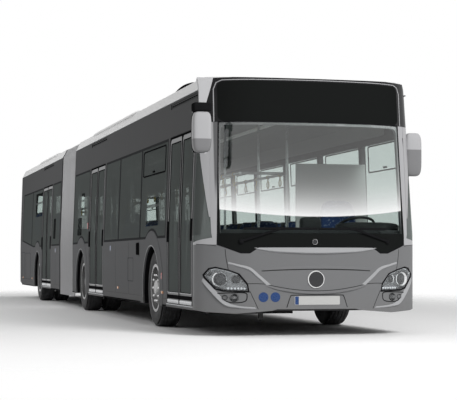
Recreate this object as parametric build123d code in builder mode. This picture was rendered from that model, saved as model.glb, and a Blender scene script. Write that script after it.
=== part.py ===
from build123d import *
import os
from math import asin, cos, degrees, radians, sin, sqrt

# Articulated low-floor city bus, in millimetres.
# +Z is up, the front looks along -Y, the door side is -X and the driver's side is +X.
# The origin is on the ground, in the middle of the whole bus.
# Places along the bus are given as stations: the distance behind the front face.

# --- overall sizes ---
body_length = 18125
body_width = 2550
mirror_reach = 300            # how far the door-side mirror stands ahead of the front face
front_overhang = 2805
wheelbase_front = 5900        # front axle to middle axle
wheelbase_rear = 5990         # middle axle to rear axle
front_car_end = 9670
rear_car_start = 11340

# --- cross-section of the body ---
skirt_z = 280                 # bottom edge of the side walls
waist_z = 1120                # the walls lean inwards above this height
cant_z = 2702                 # top of the walls
cant_half = 1215
cove_z = 2850
cove_half = 1140
deck_z = 2945
deck_half = 900
crown_z = 2985
wall = 60
roof_front_z = 2806           # roof edge over the windscreen
roof_brow_z = 2864
roof_brow_station = 800
roof_full_station = 2200      # the roof has its full height from here on

# --- the rounded front ---
nose_radius = 4650            # nearly flat middle of the front, seen from above
shoulder_radius = 900
corner_radius = 270
shoulder_turn = 45            # direction of the outline where the corner radius starts
nose_lean = 130               # how far the front leans back between waist and cant rail
side_flare = 4                # the front and rear outlines run out this far past the side walls
nose_end = 494                # station where the front ends and the side walls start
mask_top_z = 1000
mask_low_z = 253              # lowest point of the front
# x and z of the bottom edge of the front, from the middle outwards
chin_points = [(450, 300), (505, 284), (890, mask_low_z), (1180, 268), (1290, 287)]

# --- the rear end ---
tail_start = 17560            # station where the side walls end and the rear panel starts
tail_radius = 260
tail_lean = 90                # how far the rear leans forward at the roof
tail_cut_station = 17350      # the bottom edge rises behind this station
tail_low_z = 262
tail_high_z = 380

# --- windscreen and sign ---
screen_low_z = 972            # lower edge of the screen, between its two dips
screen_dip_z = 908            # lowest points, at the wiper spindles
screen_side_z = 1000
screen_high_z = 2335
screen_low_half = 1075
screen_high_half = 1045
dip_half = 745
dip_run = 95
sign_low_z = 2345
sign_high_z = 2780
sign_half = 1040
screen_corner = 60
screen_ledge = 32

# --- quarter glass beside door 1, in side view ---
quarter_low_z = 1075
quarter_high_z = 2262
quarter_low_station = 236
quarter_high_station = 392

# --- lamps and plate ---
lamp_depth = 54
lamp_gap = 3
fog_x = 905
fog_z = 425
fog_radius = 42
plate_width = 520
plate_height = 100
plate_z = 394
plate_recess = 10
plate_hole_pitch = 360
plate_hole_radius = 3.5
tow_x = -500                  # towing eye under the front of the floor
tow_station = 520
tow_z = 205
tow_radius = 20
tow_eye_radius = 44
tow_thick = 36

# --- glass ---
glass = 8
glass_inset = 1.5
pane_gap = 8
glass_low_z = 1098
glass_high_z = 2284
ledge = 55                    # width of wall that backs each pane's edge
pane_corner = 30
rear_rise_station = 15400     # the waistline of the rear car rises from here
rear_rise = 190

# --- rear end details ---
rear_window_half = 960
rear_window_low_z = 1500
rear_window_high_z = 2350
tail_lamp_x = 1085
tail_lamp_width = 130
tail_lamp_low_z = 560
tail_lamp_high_z = 1180
tail_lamp_depth = 60

# --- floors and wheel boxes ---
floor_z = 304
floor_low_z = skirt_z
podium_z = 800                # raised floor over the engine
podium_station = 15420
podium_thick = 45
box_sheet = 30
box_top_z = 1050
box_length = 1180
steered_box_inner = 480       # half the gangway between the front wheel boxes
twin_box_inner = 540

# --- wheels ---
tyre_radius = 482
tyre_rim_radius = 286
# place outwards from the middle of a tyre, and radius, for half of its outline
tyre_profile = [(112, tyre_rim_radius), (137.5, 372), (128, 458), (102, tyre_radius)]
wheel_x = 1095                # middle of each outer tyre
twin_pitch = 312
kingpin_offset = 60
arch_radius = 525
brow_radius = 716
brow_proud = 8
hub_radius = 118
rim_half = 127
rim_thick = 20
flange_width = 9
flange_radius = 300
disc_place = 52               # face of the front wheel's disc, outwards from the tyre's middle
disc_thick = 16
hub_reach = 118
cap_thick = 14
hand_holes = 8
hand_hole_radius = 27
hand_hole_ring = 196
axle_radius = 52
stub_clear = 0.05             # running clearance of a shaft in its bore

# --- doors ---
door_z = 326                  # bottom edge of the leaves
door_top_z = 2262
door_head_gap = 24
door_middle_gap = 10
jamb_strip = 48               # fixed strip that hides each door post
leaf_thick = 40
leaf_frame = 62
leaf_kick = 112               # height of the solid panel at the foot of a leaf
leaf_glass = 8
post_inset = 90               # post axis, inwards from the outside of the wall at the waist
post_jamb = 22                # post axis, from the jamb
post_lead = 34                # edge of the leaf, from the post axis
post_radius = 15
post_socket = 12
post_head = 30
arm_width = 38
arm_thick = 10
arm_gap = 6                   # above and below each arm
pin_radius = 10
leaf_foot = 12
leaf_foot_width = 60
slot_low_z = 2622             # dark slot over each door
slot_high_z = 2680
slot_depth = 12

# --- articulation ---
pivot_radius = 80
turntable_radius = 815
turntable_hub = 520
turntable_plate = 40
turntable_gap = 6
beam_x = 330
beam_width = 160
beam_reach = 380              # how far the turntable's beams run under each floor
bellows_inset = 12
bellows_fold = 34
bellows_wall = 30
bellows_folds = 12
bellows_low_z = 205
bellows_gap = 0.5

# --- axles and steering ---
beam_low_z = 150
beam_high_z = 226
beam_half = 70
leg_gap = 8
leg_width = 36
leg_half = 60
steer_limit_room = 6
sleeve_radius = 56
sleeve_half = 60
fork_thick = 26
fork_half = 34
kingpin_radius = 30
spindle_radius = 45

# --- seats, rails, cab and engine ---
bench_width = 840
bench_gap = 45                # between a bench and the wall
seat_reach = 440
seat_height = 460
seat_back = 1060
seat_pad = 75
seat_rake = 80
seat_leg = 110
rail_radius = 17
rail_x = 300
rail_z = 1900
rail_top_z = 2870
dash_z = 1165
dash_low_z = 700
dash_start = 130
dash_end = 640
dash_door_end = 400           # shorter beside the leaf of door 1
cab_inner = 330               # door-side edge of the driver's place
cab_back = 1760
cab_floor_z = 500
cab_screen_z = 2000
cab_panel = 30
steering_x = 740
steering_station = 850
steering_z = 1230
steering_radius = 225
steering_tube = 15
steering_tilt = 25
steering_column = 560
engine_half = 560
engine_start = 16050
engine_end = 17600
engine_height = 370

# --- mirrors, wipers and roof units ---
mirror_width = 200
mirror_depth = 150
mirror_height = 500
mirror_edge = 40
mirror_door_z = 2200          # middle of the door-side head
mirror_driver_z = 2045
mirror_driver_station = 640
mirror_side = 1450            # outside of both heads
mirror_stem = 110
mirror_root_z = 2735
mirror_root_station = 330
mirror_root_width = 190
wiper_x = 835
wiper_z = 1035
wiper_mid_x = 410
wiper_mid_z = 1172
wiper_half = 400
wiper_bar = 26
wiper_boss = 32
wiper_clear = 8
wiper_thick = 20
unit_chamfer = 35

# --- stations and tables ---
front_axle_station = front_overhang
middle_axle_station = front_axle_station + wheelbase_front
rear_axle_station = middle_axle_station + wheelbase_rear
pivot_station = (front_car_end + rear_car_start) / 2
inner_r = tyre_rim_radius - rim_thick
half_width = body_width / 2
front_y = -(body_length - mirror_reach) / 2

# name, first station, last station
doors = [
    ("door_1", nose_end, 1904),
    ("door_2", 6460, 7910),
    ("door_3", 12540, 14020),
]

# car, side of the bus (-1 is the door side), stations between its panes
pane_rows = [
    ("front", -1, [1960, 3590, 5200, 6416]),
    ("front", -1, [7954, 9630]),
    ("front", 1, [560, 1930, 3590, 5200, 6800, 8250, 9630]),
    ("rear", -1, [11380, 12496]),
    ("rear", -1, [14064, 15750, 17480]),
    ("rear", 1, [11380, 12960, 14540, 16020, 17480]),
]

# car, first and last station, half width, top
roof_units = [
    ("front", 3300, 4300, 600, 3062),
    ("front", 7400, 9100, 700, 3058),
    ("rear", 11900, 13100, 600, 3052),
    ("rear", 14400, 16400, 640, 3062),
    ("rear", 16900, 17800, 820, 3030),
]

# first station of the cushion, height it stands on, side of the bus (-1 is the door side)
front_seat_rows = [(s, floor_z, 1) for s in (3500, 4250, 5000, 5750, 6500, 7250)]
front_seat_rows += [(s, floor_z, -1) for s in (3500, 4250, 5000, 5650)]
rear_seat_rows = [(s, floor_z, 1) for s in (11450, 12150, 12850, 13500)]
rear_seat_rows += [(11450, floor_z, -1)]
rear_seat_rows += [(s, podium_z, side) for s in (15600, 16300, 17000) for side in (-1, 1)]

# station and side (0 is both) of the upright rails, and the height they stand on
front_rails = [(2150, floor_z, 1), (3450, floor_z, 0), (5250, floor_z, 0), (6260, floor_z, 0),
               (8080, floor_z, 0), (9400, floor_z, 0)]
rear_rails = [(11500, floor_z, 0), (12330, floor_z, 0), (14220, floor_z, 0), (15350, floor_z, 0),
              (16900, podium_z, 0)]

# x, z, and how far the inside lies inwards in x and z for each millimetre of wall
section_points = [
    (half_width, waist_z, 1.0, 0.0),
    (cant_half, cant_z, 1.0, 0.25),
    (cove_half, cove_z, 0.8, 0.7),
    (deck_half, deck_z, 0.3, 1.0),
    (0, crown_z, 0.0, 1.0),
]

os.makedirs("parts", exist_ok=True)


def y_at(station):
    """Y of a station."""
    return front_y + station


def cross_plane(station):
    """Plane across the bus, with local x across and local y up; -amount goes rearwards."""
    return Plane(origin=(0, y_at(station), 0), x_dir=(1, 0, 0), z_dir=(0, -1, 0))


def side_block(s0, s1, z0, z1, x0, x1, corner=0):
    """Block between two stations, two heights and two x places, rounded in side view."""
    with BuildPart() as block:
        with BuildSketch(Plane.YZ.offset(x0)):
            with Locations((y_at((s0 + s1) / 2), (z0 + z1) / 2)):
                if corner:
                    RectangleRounded(s1 - s0, z1 - z0, corner)
                else:
                    Rectangle(s1 - s0, z1 - z0)
        extrude(amount=x1 - x0)
    return block.part


def side_prism(points, x0, x1):
    """Prism across the bus from (station, z) points in side view."""
    with BuildPart() as prism:
        with BuildSketch(Plane.YZ.offset(x0)):
            with BuildLine():
                Polyline([(y_at(s), z) for s, z in points], close=True)
            make_face()
        extrude(amount=x1 - x0)
    return prism.part


def front_prism(points, s0, s1, corner=0):
    """Prism along the bus from (x, z) points in front view."""
    with BuildPart() as prism:
        with BuildSketch(cross_plane(s0)) as outline:
            with BuildLine():
                Polyline(points, close=True)
            make_face()
            if corner:
                fillet(outline.vertices(), corner)
        extrude(amount=-(s1 - s0))
    return prism.part


def wheel_cylinder(station, radius, x0, x1):
    """Cylinder across the bus at a wheel's centre."""
    with BuildPart() as cylinder:
        with BuildSketch(Plane.YZ.offset(x0)):
            with Locations((y_at(station), tyre_radius)):
                Circle(radius)
        extrude(amount=x1 - x0)
    return cylinder.part


def section_prism(s0, s1, inset, low_z):
    """The body's cross-section carried from one station to another."""
    right = [(x - inset * ix, z - inset * iz) for x, z, ix, iz in section_points]
    half = [(right[0][0], low_z)] + right
    points = half + [(-x, z) for x, z in reversed(half[:-1])]
    return front_prism(points, s0, s1)


def plan_sketch(z, half, back, inset):
    """Front outline seen from above: flat middle, shoulders and corners, closed at the back."""
    nose = nose_radius - inset
    shoulder = shoulder_radius - inset
    corner = corner_radius - inset
    reach = half + side_flare - inset
    turn = radians(shoulder_turn)
    start = asin((reach - shoulder * sin(turn) - corner * (1 - sin(turn))) / (nose - shoulder))
    lean = nose_lean * max(0, z - waist_z) / (cant_z - waist_z)
    with BuildSketch(Plane.XY.offset(z)) as outline:
        with BuildLine():
            middle = JernArc(start=(0, y_at(lean + inset)), tangent=(1, 0), radius=nose,
                             arc_size=degrees(start))
            side = JernArc(start=middle @ 1, tangent=middle % 1, radius=shoulder,
                           arc_size=shoulder_turn - degrees(start))
            end = JernArc(start=side @ 1, tangent=side % 1, radius=corner,
                          arc_size=90 - shoulder_turn)
            Polyline(end @ 1, (reach, y_at(back)), (0, y_at(back)))
            mirror(about=Plane.YZ)
        make_face()
    return outline.sketch


def nose_block(inset):
    """Everything behind the front's outside, upright to the waist and leaning back above it."""
    rise = (crown_z - waist_z) / (cant_z - waist_z)
    top_half = half_width - (half_width - cant_half) * rise
    back = front_car_end + wall
    waist = plan_sketch(waist_z, half_width, back, inset)
    roof = plan_sketch(crown_z, top_half, back, inset)
    with BuildPart() as block:
        extrude(plan_sketch(0, half_width, back, inset), amount=waist_z)
        loft([waist, roof], ruled=True)
    return block.part


def front_body(inset):
    """Solid inside of the front car at a depth below its outside."""
    end = front_car_end if inset == 0 else front_car_end + wall
    low = 0 if inset else mask_low_z
    roof_line = [
        (-wall, -1), (-wall, roof_front_z - inset), (0, roof_front_z - inset),
        (roof_brow_station, roof_brow_z - inset), (roof_full_station, crown_z - inset),
        (end, crown_z - inset), (end, -1),
    ]
    with BuildPart() as body:
        add(section_prism(-wall, end, inset, low))
        add(nose_block(inset), mode=Mode.INTERSECT)
        add(side_prism(roof_line, -body_width, body_width), mode=Mode.INTERSECT)
    return body.part


def rear_body(inset):
    """Solid inside of the rear car at a depth below its outside."""
    start = rear_car_start if inset == 0 else rear_car_start - wall
    low = 0 if inset else tail_low_z
    back = body_length - inset
    tail_line = [
        (start, -1), (start, crown_z), (back - tail_lean, crown_z), (back, waist_z), (back, -1),
    ]
    reach = half_width + side_flare - inset
    with BuildPart() as body:
        add(section_prism(start, body_length, inset, low))
        with BuildSketch(Plane.XY.offset(-1), mode=Mode.PRIVATE) as plan:
            with Locations((0, y_at((start + back) / 2))):
                Rectangle(2 * reach, back - start)
            fillet(plan.vertices().sort_by(Axis.Y)[-2:], tail_radius - inset)
        extrude(plan.sketch, amount=crown_z + 1, mode=Mode.INTERSECT)
        add(side_prism(tail_line, -body_width, body_width), mode=Mode.INTERSECT)
    return body.part


def difference(outer, inner):
    """One solid less another."""
    with BuildPart() as result:
        add(outer)
        add(inner, mode=Mode.SUBTRACT)
    return result.part


def common(first, second):
    """What two solids share."""
    with BuildPart() as result:
        add(first)
        add(second, mode=Mode.INTERSECT)
    return result.part


def save(part, name):
    """Label a finished piece and write it to its own file."""
    part.label = name
    export_step(part, f"parts/{name}.step")


# --- shells of both cars ---
outer = {"front": front_body(0), "rear": rear_body(0)}
inner = {"front": front_body(wall), "rear": rear_body(wall)}
shell = {car: difference(outer[car], inner[car]) for car in outer}
rebate_inner = {"front": front_body(glass + glass_inset), "rear": rear_body(glass + glass_inset)}
rebate_skin = {car: difference(outer[car], rebate_inner[car]) for car in outer}
glass_outer = {"front": front_body(glass_inset), "rear": rear_body(glass_inset)}
glass_skin = {car: difference(glass_outer[car], rebate_inner[car]) for car in outer}
car_span = {"front": (nose_end, front_car_end), "rear": (rear_car_start, tail_start)}
car_axles = {"front": [front_axle_station, middle_axle_station], "rear": [rear_axle_station]}


# --- side walls, their glass and the roofs ---
def side_x(side):
    """x range of one side of the bus, from well inside the wall to outside it."""
    inside = side * (half_width - 4 * wall)
    outside = side * (half_width + wall)
    return min(inside, outside), max(inside, outside)


def pane_prism(car, side, s0, s1, z0, z1, grow, corner):
    """Side-view prism of a pane, cut round the wheel arches and under the rising waistline."""
    x0, x1 = side_x(side)
    with BuildPart() as prism:
        add(side_block(s0, s1, z0, z1, x0, x1, corner))
        for station in car_axles[car]:
            add(wheel_cylinder(station, brow_radius + grow, x0, x1), mode=Mode.SUBTRACT)
        if car == "rear":
            line = [
                (rear_rise_station, z0), (body_length, z0 + rear_rise),
                (body_length, z0 - rear_rise), (rear_rise_station, z0 - rear_rise),
            ]
            add(side_prism(line, x0, x1), mode=Mode.SUBTRACT)
    return prism.part


def arch_brow(station, side):
    """Raised lip round a wheel arch, one piece with the wall."""
    x0, x1 = sorted((side * (half_width - wall), side * (half_width + brow_proud)))
    with BuildPart() as ring:
        add(wheel_cylinder(station, brow_radius, x0, x1))
        outside = ring.faces().sort_by(Axis.X)[-1 if side > 0 else 0]
        chamfer(outside.edges(), brow_proud * 0.9)
        add(side_block(station - body_width, station + body_width, -body_width, skirt_z, x0, x1),
            mode=Mode.SUBTRACT)
    return ring.part


def upright(x, station, z, height, radius):
    """Upright cylinder standing on height z."""
    with BuildPart() as cylinder:
        with BuildSketch(Plane.XY.offset(z)):
            with Locations((x, y_at(station))):
                Circle(radius)
        extrude(amount=height)
    return cylinder.part


def door_hole(car, d0, d1, head_z):
    """Room of a door in the wall, less the strips that hide its posts."""
    x0, x1 = side_x(-1)
    with BuildPart() as hole:
        add(side_block(d0, d1, 0, head_z, x0, x1))
        for a, b in ((d0, d0 + jamb_strip), (d1 - jamb_strip, d1)):
            add(common(rebate_skin[car], side_block(a, b, floor_z, head_z, x0, x1)),
                mode=Mode.SUBTRACT)
    return hole.part


def roof_unit(s0, s1, half, top_z):
    """Hatch or cooling unit that stands on the roof, with sloped edges."""
    with BuildPart() as unit:
        add(side_block(s0, s1, deck_z, top_z, -half, half))
        chamfer(unit.faces().sort_by(Axis.Z)[-1].edges(), unit_chamfer)
    return unit.part


post_x = -(half_width - post_inset)

for car, (s0, s1) in car_span.items():
    for side, side_name in ((-1, "right"), (1, "left")):
        x0, x1 = side_x(side)
        rows = [row for row in pane_rows if row[0] == car and row[1] == side]
        with BuildPart() as side_wall:
            add(shell[car])
            add(side_block(s0, s1, skirt_z, cant_z, x0, x1), mode=Mode.INTERSECT)
            for _, _, stations in rows:
                band = pane_prism(car, side, stations[0], stations[-1], glass_low_z, glass_high_z,
                                  0, 0)
                add(common(rebate_skin[car], band), mode=Mode.SUBTRACT)
                for a, b in zip(stations, stations[1:]):
                    add(pane_prism(car, side, a + ledge, b - ledge, glass_low_z + ledge,
                                   glass_high_z - ledge, ledge, pane_corner),
                        mode=Mode.SUBTRACT)
            for station in car_axles[car]:
                add(arch_brow(station, side))
            for station in car_axles[car]:
                add(wheel_cylinder(station, arch_radius, x0, x1), mode=Mode.SUBTRACT)
            for _, d0, d1 in doors:
                if side < 0 and s0 - wall < d0 < s1:
                    head_z = door_top_z + door_head_gap
                    add(door_hole(car, d0, d1, head_z), mode=Mode.SUBTRACT)
                    add(side_block(d0, d1, slot_low_z, slot_high_z,
                                   x0, side * (cant_half - slot_depth)), mode=Mode.SUBTRACT)
                    for station in (d0 + post_jamb, d1 - post_jamb):
                        add(upright(post_x, station, head_z, post_head, post_radius + stub_clear),
                            mode=Mode.SUBTRACT)
        save(side_wall.part, f"{car}_wall_{side_name}")

    with BuildPart() as side_glass:
        for _, side, stations in [row for row in pane_rows if row[0] == car]:
            for a, b in zip(stations, stations[1:]):
                pane = pane_prism(car, side, a + pane_gap / 2, b - pane_gap / 2, glass_low_z,
                                  glass_high_z, 0, 0)
                add(common(glass_skin[car], pane))
        if car == "front":
            front_side_glass = side_glass.part
        else:
            rear_side_glass = side_glass.part

    with BuildPart() as roof:
        add(shell[car])
        end = s1 if car == "front" else body_length
        add(side_block(s0, end, cant_z, crown_z + wall, -body_width, body_width),
            mode=Mode.INTERSECT)
        for _, a, b, half, top_z in [row for row in roof_units if row[0] == car]:
            add(roof_unit(a, b, half, top_z))
    save(roof.part, f"{car}_roof")


# --- front: mask, windscreen frame, glass, lamps ---
def mirrored(points):
    """A list of right-hand (x, z) points closed by its mirror image."""
    return points + [(-x, z) for x, z in reversed(points)]


screen_points = mirrored([
    (dip_half - dip_run, screen_low_z), (dip_half, screen_dip_z), (dip_half + dip_run, screen_dip_z),
    (screen_low_half, screen_side_z), (screen_high_half, screen_high_z),
])
sign_points = mirrored([(sign_half + 3, sign_low_z), (sign_half, sign_high_z)])
opening_points = mirrored([
    (dip_half, screen_side_z + screen_ledge),
    (screen_low_half - screen_ledge, screen_side_z + 2 * screen_ledge),
    (screen_high_half - screen_ledge, screen_high_z - screen_ledge),
])
sign_opening_points = mirrored([
    (sign_half - screen_ledge, sign_low_z + screen_ledge),
    (sign_half - screen_ledge, sign_high_z - screen_ledge),
])
quarter_points = [
    (quarter_low_station, quarter_low_z), (nose_end - pane_gap, quarter_low_z - ledge),
    (nose_end - pane_gap, quarter_high_z), (quarter_high_station, quarter_high_z),
]
# x and z of the corners of the driver's side headlamp, seen from the front
lamp_points = [
    (760, 492), (1020, 500), (1095, 522), (1190, 640), (1200, 672), (1150, 738), (1090, 750),
    (970, 722), (860, 680), (775, 575),
]
front_end = nose_end
screen_prism = front_prism(screen_points, -wall, front_end)
sign_prism = front_prism(sign_points, -wall, front_end, screen_corner)
lamp_prisms = [
    front_prism([(side * x, z) for x, z in lamp_points], -wall, front_end) for side in (-1, 1)
]
quarter_prism = side_prism(quarter_points, -body_width, body_width)
lamp_skin = difference(front_body(2 * lamp_gap), front_body(lamp_depth))
lamp_room = difference(outer["front"], front_body(lamp_depth + lamp_gap))

with BuildPart() as front_frame:
    add(shell["front"])
    add(side_block(-wall, front_end, mask_top_z, crown_z, -body_width, body_width),
        mode=Mode.INTERSECT)
    for prism in (screen_prism, sign_prism, quarter_prism):
        add(common(rebate_skin["front"], prism), mode=Mode.SUBTRACT)
    add(front_prism(opening_points, -wall, front_end, screen_corner), mode=Mode.SUBTRACT)
    add(front_prism(sign_opening_points, -wall, front_end), mode=Mode.SUBTRACT)
    add(side_block(quarter_low_station + 2 * ledge, front_end, quarter_low_z + ledge / 2,
                   quarter_high_z - ledge, -body_width, body_width), mode=Mode.SUBTRACT)
save(front_frame.part, "windscreen_frame")

with BuildPart() as mask:
    add(shell["front"])
    add(side_block(-wall, front_end, mask_low_z, mask_top_z, -body_width, body_width),
        mode=Mode.INTERSECT)
    add(common(rebate_skin["front"], screen_prism), mode=Mode.SUBTRACT)
    add(front_prism(mirrored(chin_points + [(chin_points[-1][0], 0)]), -wall, front_end),
        mode=Mode.SUBTRACT)
    for prism in lamp_prisms:
        add(common(lamp_room, prism), mode=Mode.SUBTRACT)
    with BuildSketch(cross_plane(-wall)):
        with Locations((-fog_x, fog_z), (fog_x, fog_z)):
            Circle(fog_radius + lamp_gap)
    extrude(amount=-front_end, mode=Mode.SUBTRACT)
    with BuildSketch(cross_plane(-wall)):
        with Locations((0, plate_z)):
            Rectangle(plate_width, plate_height)
    extrude(amount=-(wall + plate_recess), mode=Mode.SUBTRACT)
    with BuildSketch(cross_plane(-wall)):
        with Locations((-plate_hole_pitch / 2, plate_z), (plate_hole_pitch / 2, plate_z)):
            Circle(plate_hole_radius)
    extrude(amount=-3 * wall, mode=Mode.SUBTRACT)
save(mask.part, "front_mask")

with BuildPart() as windscreen:
    add(common(glass_skin["front"], screen_prism))
    add(common(glass_skin["front"], sign_prism))
save(windscreen.part, "windscreen")

with BuildPart() as front_glass:
    add(front_side_glass)
    add(common(common(glass_skin["front"], quarter_prism),
               side_block(0, front_end, 0, crown_z, -body_width, body_width)))
save(front_glass.part, "front_side_glass")

with BuildPart() as headlamps:
    for prism in lamp_prisms:
        add(common(lamp_skin, prism))
    with BuildSketch(cross_plane(-wall)) as fog_outline:
        with Locations((-fog_x, fog_z), (fog_x, fog_z)):
            Circle(fog_radius)
    fog_tubes = extrude(fog_outline.sketch, amount=-front_end, mode=Mode.PRIVATE)
    add(common(lamp_skin, fog_tubes))
save(headlamps.part, "headlamps")


# --- rear end ---
window_points = mirrored([(rear_window_half, rear_window_low_z),
                          (rear_window_half - ledge, rear_window_high_z)])
window_prism = front_prism(window_points, tail_start, body_length + wall, pane_corner)
window_hole = mirrored([(rear_window_half - ledge, rear_window_low_z + ledge),
                        (rear_window_half - 2 * ledge, rear_window_high_z - ledge)])
tail_lamp_points = [
    (tail_lamp_x - tail_lamp_width / 2, tail_lamp_low_z),
    (tail_lamp_x + tail_lamp_width / 2, tail_lamp_low_z),
    (tail_lamp_x + tail_lamp_width / 2, tail_lamp_high_z),
    (tail_lamp_x - tail_lamp_width / 2, tail_lamp_high_z),
]
tail_lamp_prisms = [
    front_prism([(side * x, z) for x, z in tail_lamp_points], tail_start, body_length + wall)
    for side in (-1, 1)
]
tail_skin = difference(rear_body(lamp_gap), rear_body(tail_lamp_depth - lamp_gap))

with BuildPart() as rear_panel:
    add(shell["rear"])
    add(side_block(tail_start, body_length, tail_low_z, cant_z, -body_width, body_width),
        mode=Mode.INTERSECT)
    add(common(rebate_skin["rear"], window_prism), mode=Mode.SUBTRACT)
    add(front_prism(window_hole, tail_start, body_length + wall, pane_corner), mode=Mode.SUBTRACT)
    for prism in tail_lamp_prisms:
        add(common(difference(outer["rear"], rear_body(tail_lamp_depth)), prism),
            mode=Mode.SUBTRACT)
    under = [
        (tail_cut_station, 0), (tail_cut_station, tail_low_z),
        (body_length, tail_high_z), (body_length, 0),
    ]
    add(side_prism(under, -body_width, body_width), mode=Mode.SUBTRACT)
save(rear_panel.part, "rear_panel")

with BuildPart() as rear_glass:
    add(rear_side_glass)
    add(common(glass_skin["rear"], window_prism))
save(rear_glass.part, "rear_glass")

with BuildPart() as tail_lamps:
    for prism in tail_lamp_prisms:
        add(common(tail_skin, prism))
save(tail_lamps.part, "tail_lamps")


# --- floors with their wheel boxes ---
def wheel_boxes(stations, inner_half, solid):
    """Covers over the wheels: their outside blocks, or the room inside them."""
    sheet = 0 if solid else box_sheet
    with BuildPart() as boxes:
        for station in stations:
            for side in (-1, 1):
                x0, x1 = sorted((side * (inner_half + sheet), side * (half_width - wall)))
                add(side_block(station - box_length / 2 + sheet, station + box_length / 2 - sheet,
                               floor_low_z if solid else 0, box_top_z - sheet, x0, x1))
    return boxes.part


with BuildPart() as front_floor:
    add(common(inner["front"], side_block(0, front_car_end, floor_low_z, floor_z, -body_width,
                                          body_width)))
    add(wheel_boxes([front_axle_station], steered_box_inner, True), mode=Mode.SUBTRACT)
    add(wheel_boxes([middle_axle_station], twin_box_inner, True), mode=Mode.SUBTRACT)
    for _, d0, d1 in doors[:2]:
        add(side_block(d0, d1, floor_low_z, floor_z, -half_width, -half_width + wall))
        for station in (d0 + post_jamb, d1 - post_jamb):
            add(upright(post_x, station, floor_z - post_socket, wall, post_radius + stub_clear),
                mode=Mode.SUBTRACT)
    with BuildSketch(Plane.YZ.offset(tow_x - tow_thick / 2)):
        with Locations((y_at(tow_station), tow_z)):
            Circle(tow_eye_radius)
        with Locations((y_at(tow_station), (tow_z + floor_low_z) / 2)):
            Rectangle(2 * tow_eye_radius, floor_low_z - tow_z)
        with Locations((y_at(tow_station), tow_z)):
            Circle(tow_radius, mode=Mode.SUBTRACT)
    extrude(amount=tow_thick)
save(front_floor.part, "front_floor")

with BuildPart() as rear_floor:
    add(side_block(rear_car_start, podium_station + podium_thick, floor_low_z, floor_z,
                   -half_width + wall, half_width - wall))
    add(wheel_boxes([rear_axle_station], twin_box_inner, True), mode=Mode.SUBTRACT)
    add(side_block(podium_station, podium_station + podium_thick, floor_low_z, podium_z,
                   -half_width + wall, half_width - wall))
    add(common(inner["rear"], side_block(podium_station, body_length, podium_z - podium_thick,
                                         podium_z, -body_width, body_width)))
    for _, d0, d1 in doors[2:]:
        add(side_block(d0, d1, floor_low_z, floor_z, -half_width, -half_width + wall))
        for station in (d0 + post_jamb, d1 - post_jamb):
            add(upright(post_x, station, floor_z - post_socket, wall, post_radius + stub_clear),
                mode=Mode.SUBTRACT)
save(rear_floor.part, "rear_floor")

with BuildPart() as front_boxes:
    add(wheel_boxes([front_axle_station], steered_box_inner, True))
    add(wheel_boxes([middle_axle_station], twin_box_inner, True))
    add(wheel_boxes([front_axle_station], steered_box_inner, False), mode=Mode.SUBTRACT)
    add(wheel_boxes([middle_axle_station], twin_box_inner, False), mode=Mode.SUBTRACT)
save(front_boxes.part, "front_wheel_boxes")

with BuildPart() as rear_boxes:
    add(wheel_boxes([rear_axle_station], twin_box_inner, True))
    add(wheel_boxes([rear_axle_station], twin_box_inner, False), mode=Mode.SUBTRACT)
save(rear_boxes.part, "rear_wheel_boxes")


# --- doors: each leaf hangs on an arm that turns with a post at the jamb ---
leaf_skin = {
    "front": difference(outer["front"], front_body(leaf_thick)),
    "rear": difference(outer["rear"], rear_body(leaf_thick)),
}
leaf_core = {"front": front_body(leaf_glass), "rear": rear_body(leaf_glass)}
arm_low_z = door_z - arm_gap - arm_thick
arm_high_z = door_top_z + arm_gap

for door_name, d0, d1 in doors:
    car = "front" if d1 < front_car_end else "rear"
    x0, x1 = side_x(-1)
    middle_station = (d0 + d1) / 2
    for end_name, jamb, way in (("front", d0, 1), ("rear", d1, -1)):
        post = jamb + way * post_jamb
        edge = post + way * post_lead
        lead = middle_station - way * door_middle_gap / 2
        pin = (post + lead) / 2
        a, b = sorted((edge, lead))

        with BuildPart() as leaf:
            add(common(leaf_skin[car], side_block(a, b, door_z, door_top_z, x0, x1)))
            pocket = side_block(a + leaf_frame, b - leaf_frame, door_z + leaf_kick,
                                door_top_z - leaf_frame, x0, x1, pane_corner)
            add(common(leaf_core[car], pocket), mode=Mode.SUBTRACT)
            add(side_block(pin - leaf_foot_width / 2, pin + leaf_foot_width / 2, door_z,
                           door_z + leaf_foot, -half_width + leaf_thick / 2, post_x + post_radius))
            add(upright(post_x, pin, arm_low_z, arm_thick + arm_gap + leaf_foot, pin_radius))
            add(upright(post_x, pin, door_top_z - leaf_foot, leaf_foot + arm_gap + arm_thick,
                        pin_radius))
        save(leaf.part, f"{door_name}_{end_name}_leaf")

        with BuildPart() as arm:
            add(upright(post_x, post, floor_z - post_socket,
                        door_top_z + door_head_gap + post_head - floor_z + post_socket - stub_clear,
                        post_radius))
            for z in (arm_low_z, arm_high_z):
                with BuildSketch(Plane.XY.offset(z)):
                    with Locations((post_x, y_at((post + pin) / 2))):
                        SlotCenterToCenter(abs(pin - post), arm_width, rotation=90)
                extrude(amount=arm_thick)
            add(upright(post_x, pin, 0, crown_z, pin_radius + stub_clear), mode=Mode.SUBTRACT)
        save(arm.part, f"{door_name}_{end_name}_arm")


# --- articulation: turntable and bellows ---
ring_low_z = floor_low_z - turntable_plate - turntable_gap / 2
base_high_z = ring_low_z - turntable_gap
base_low_z = base_high_z - turntable_plate

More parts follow.
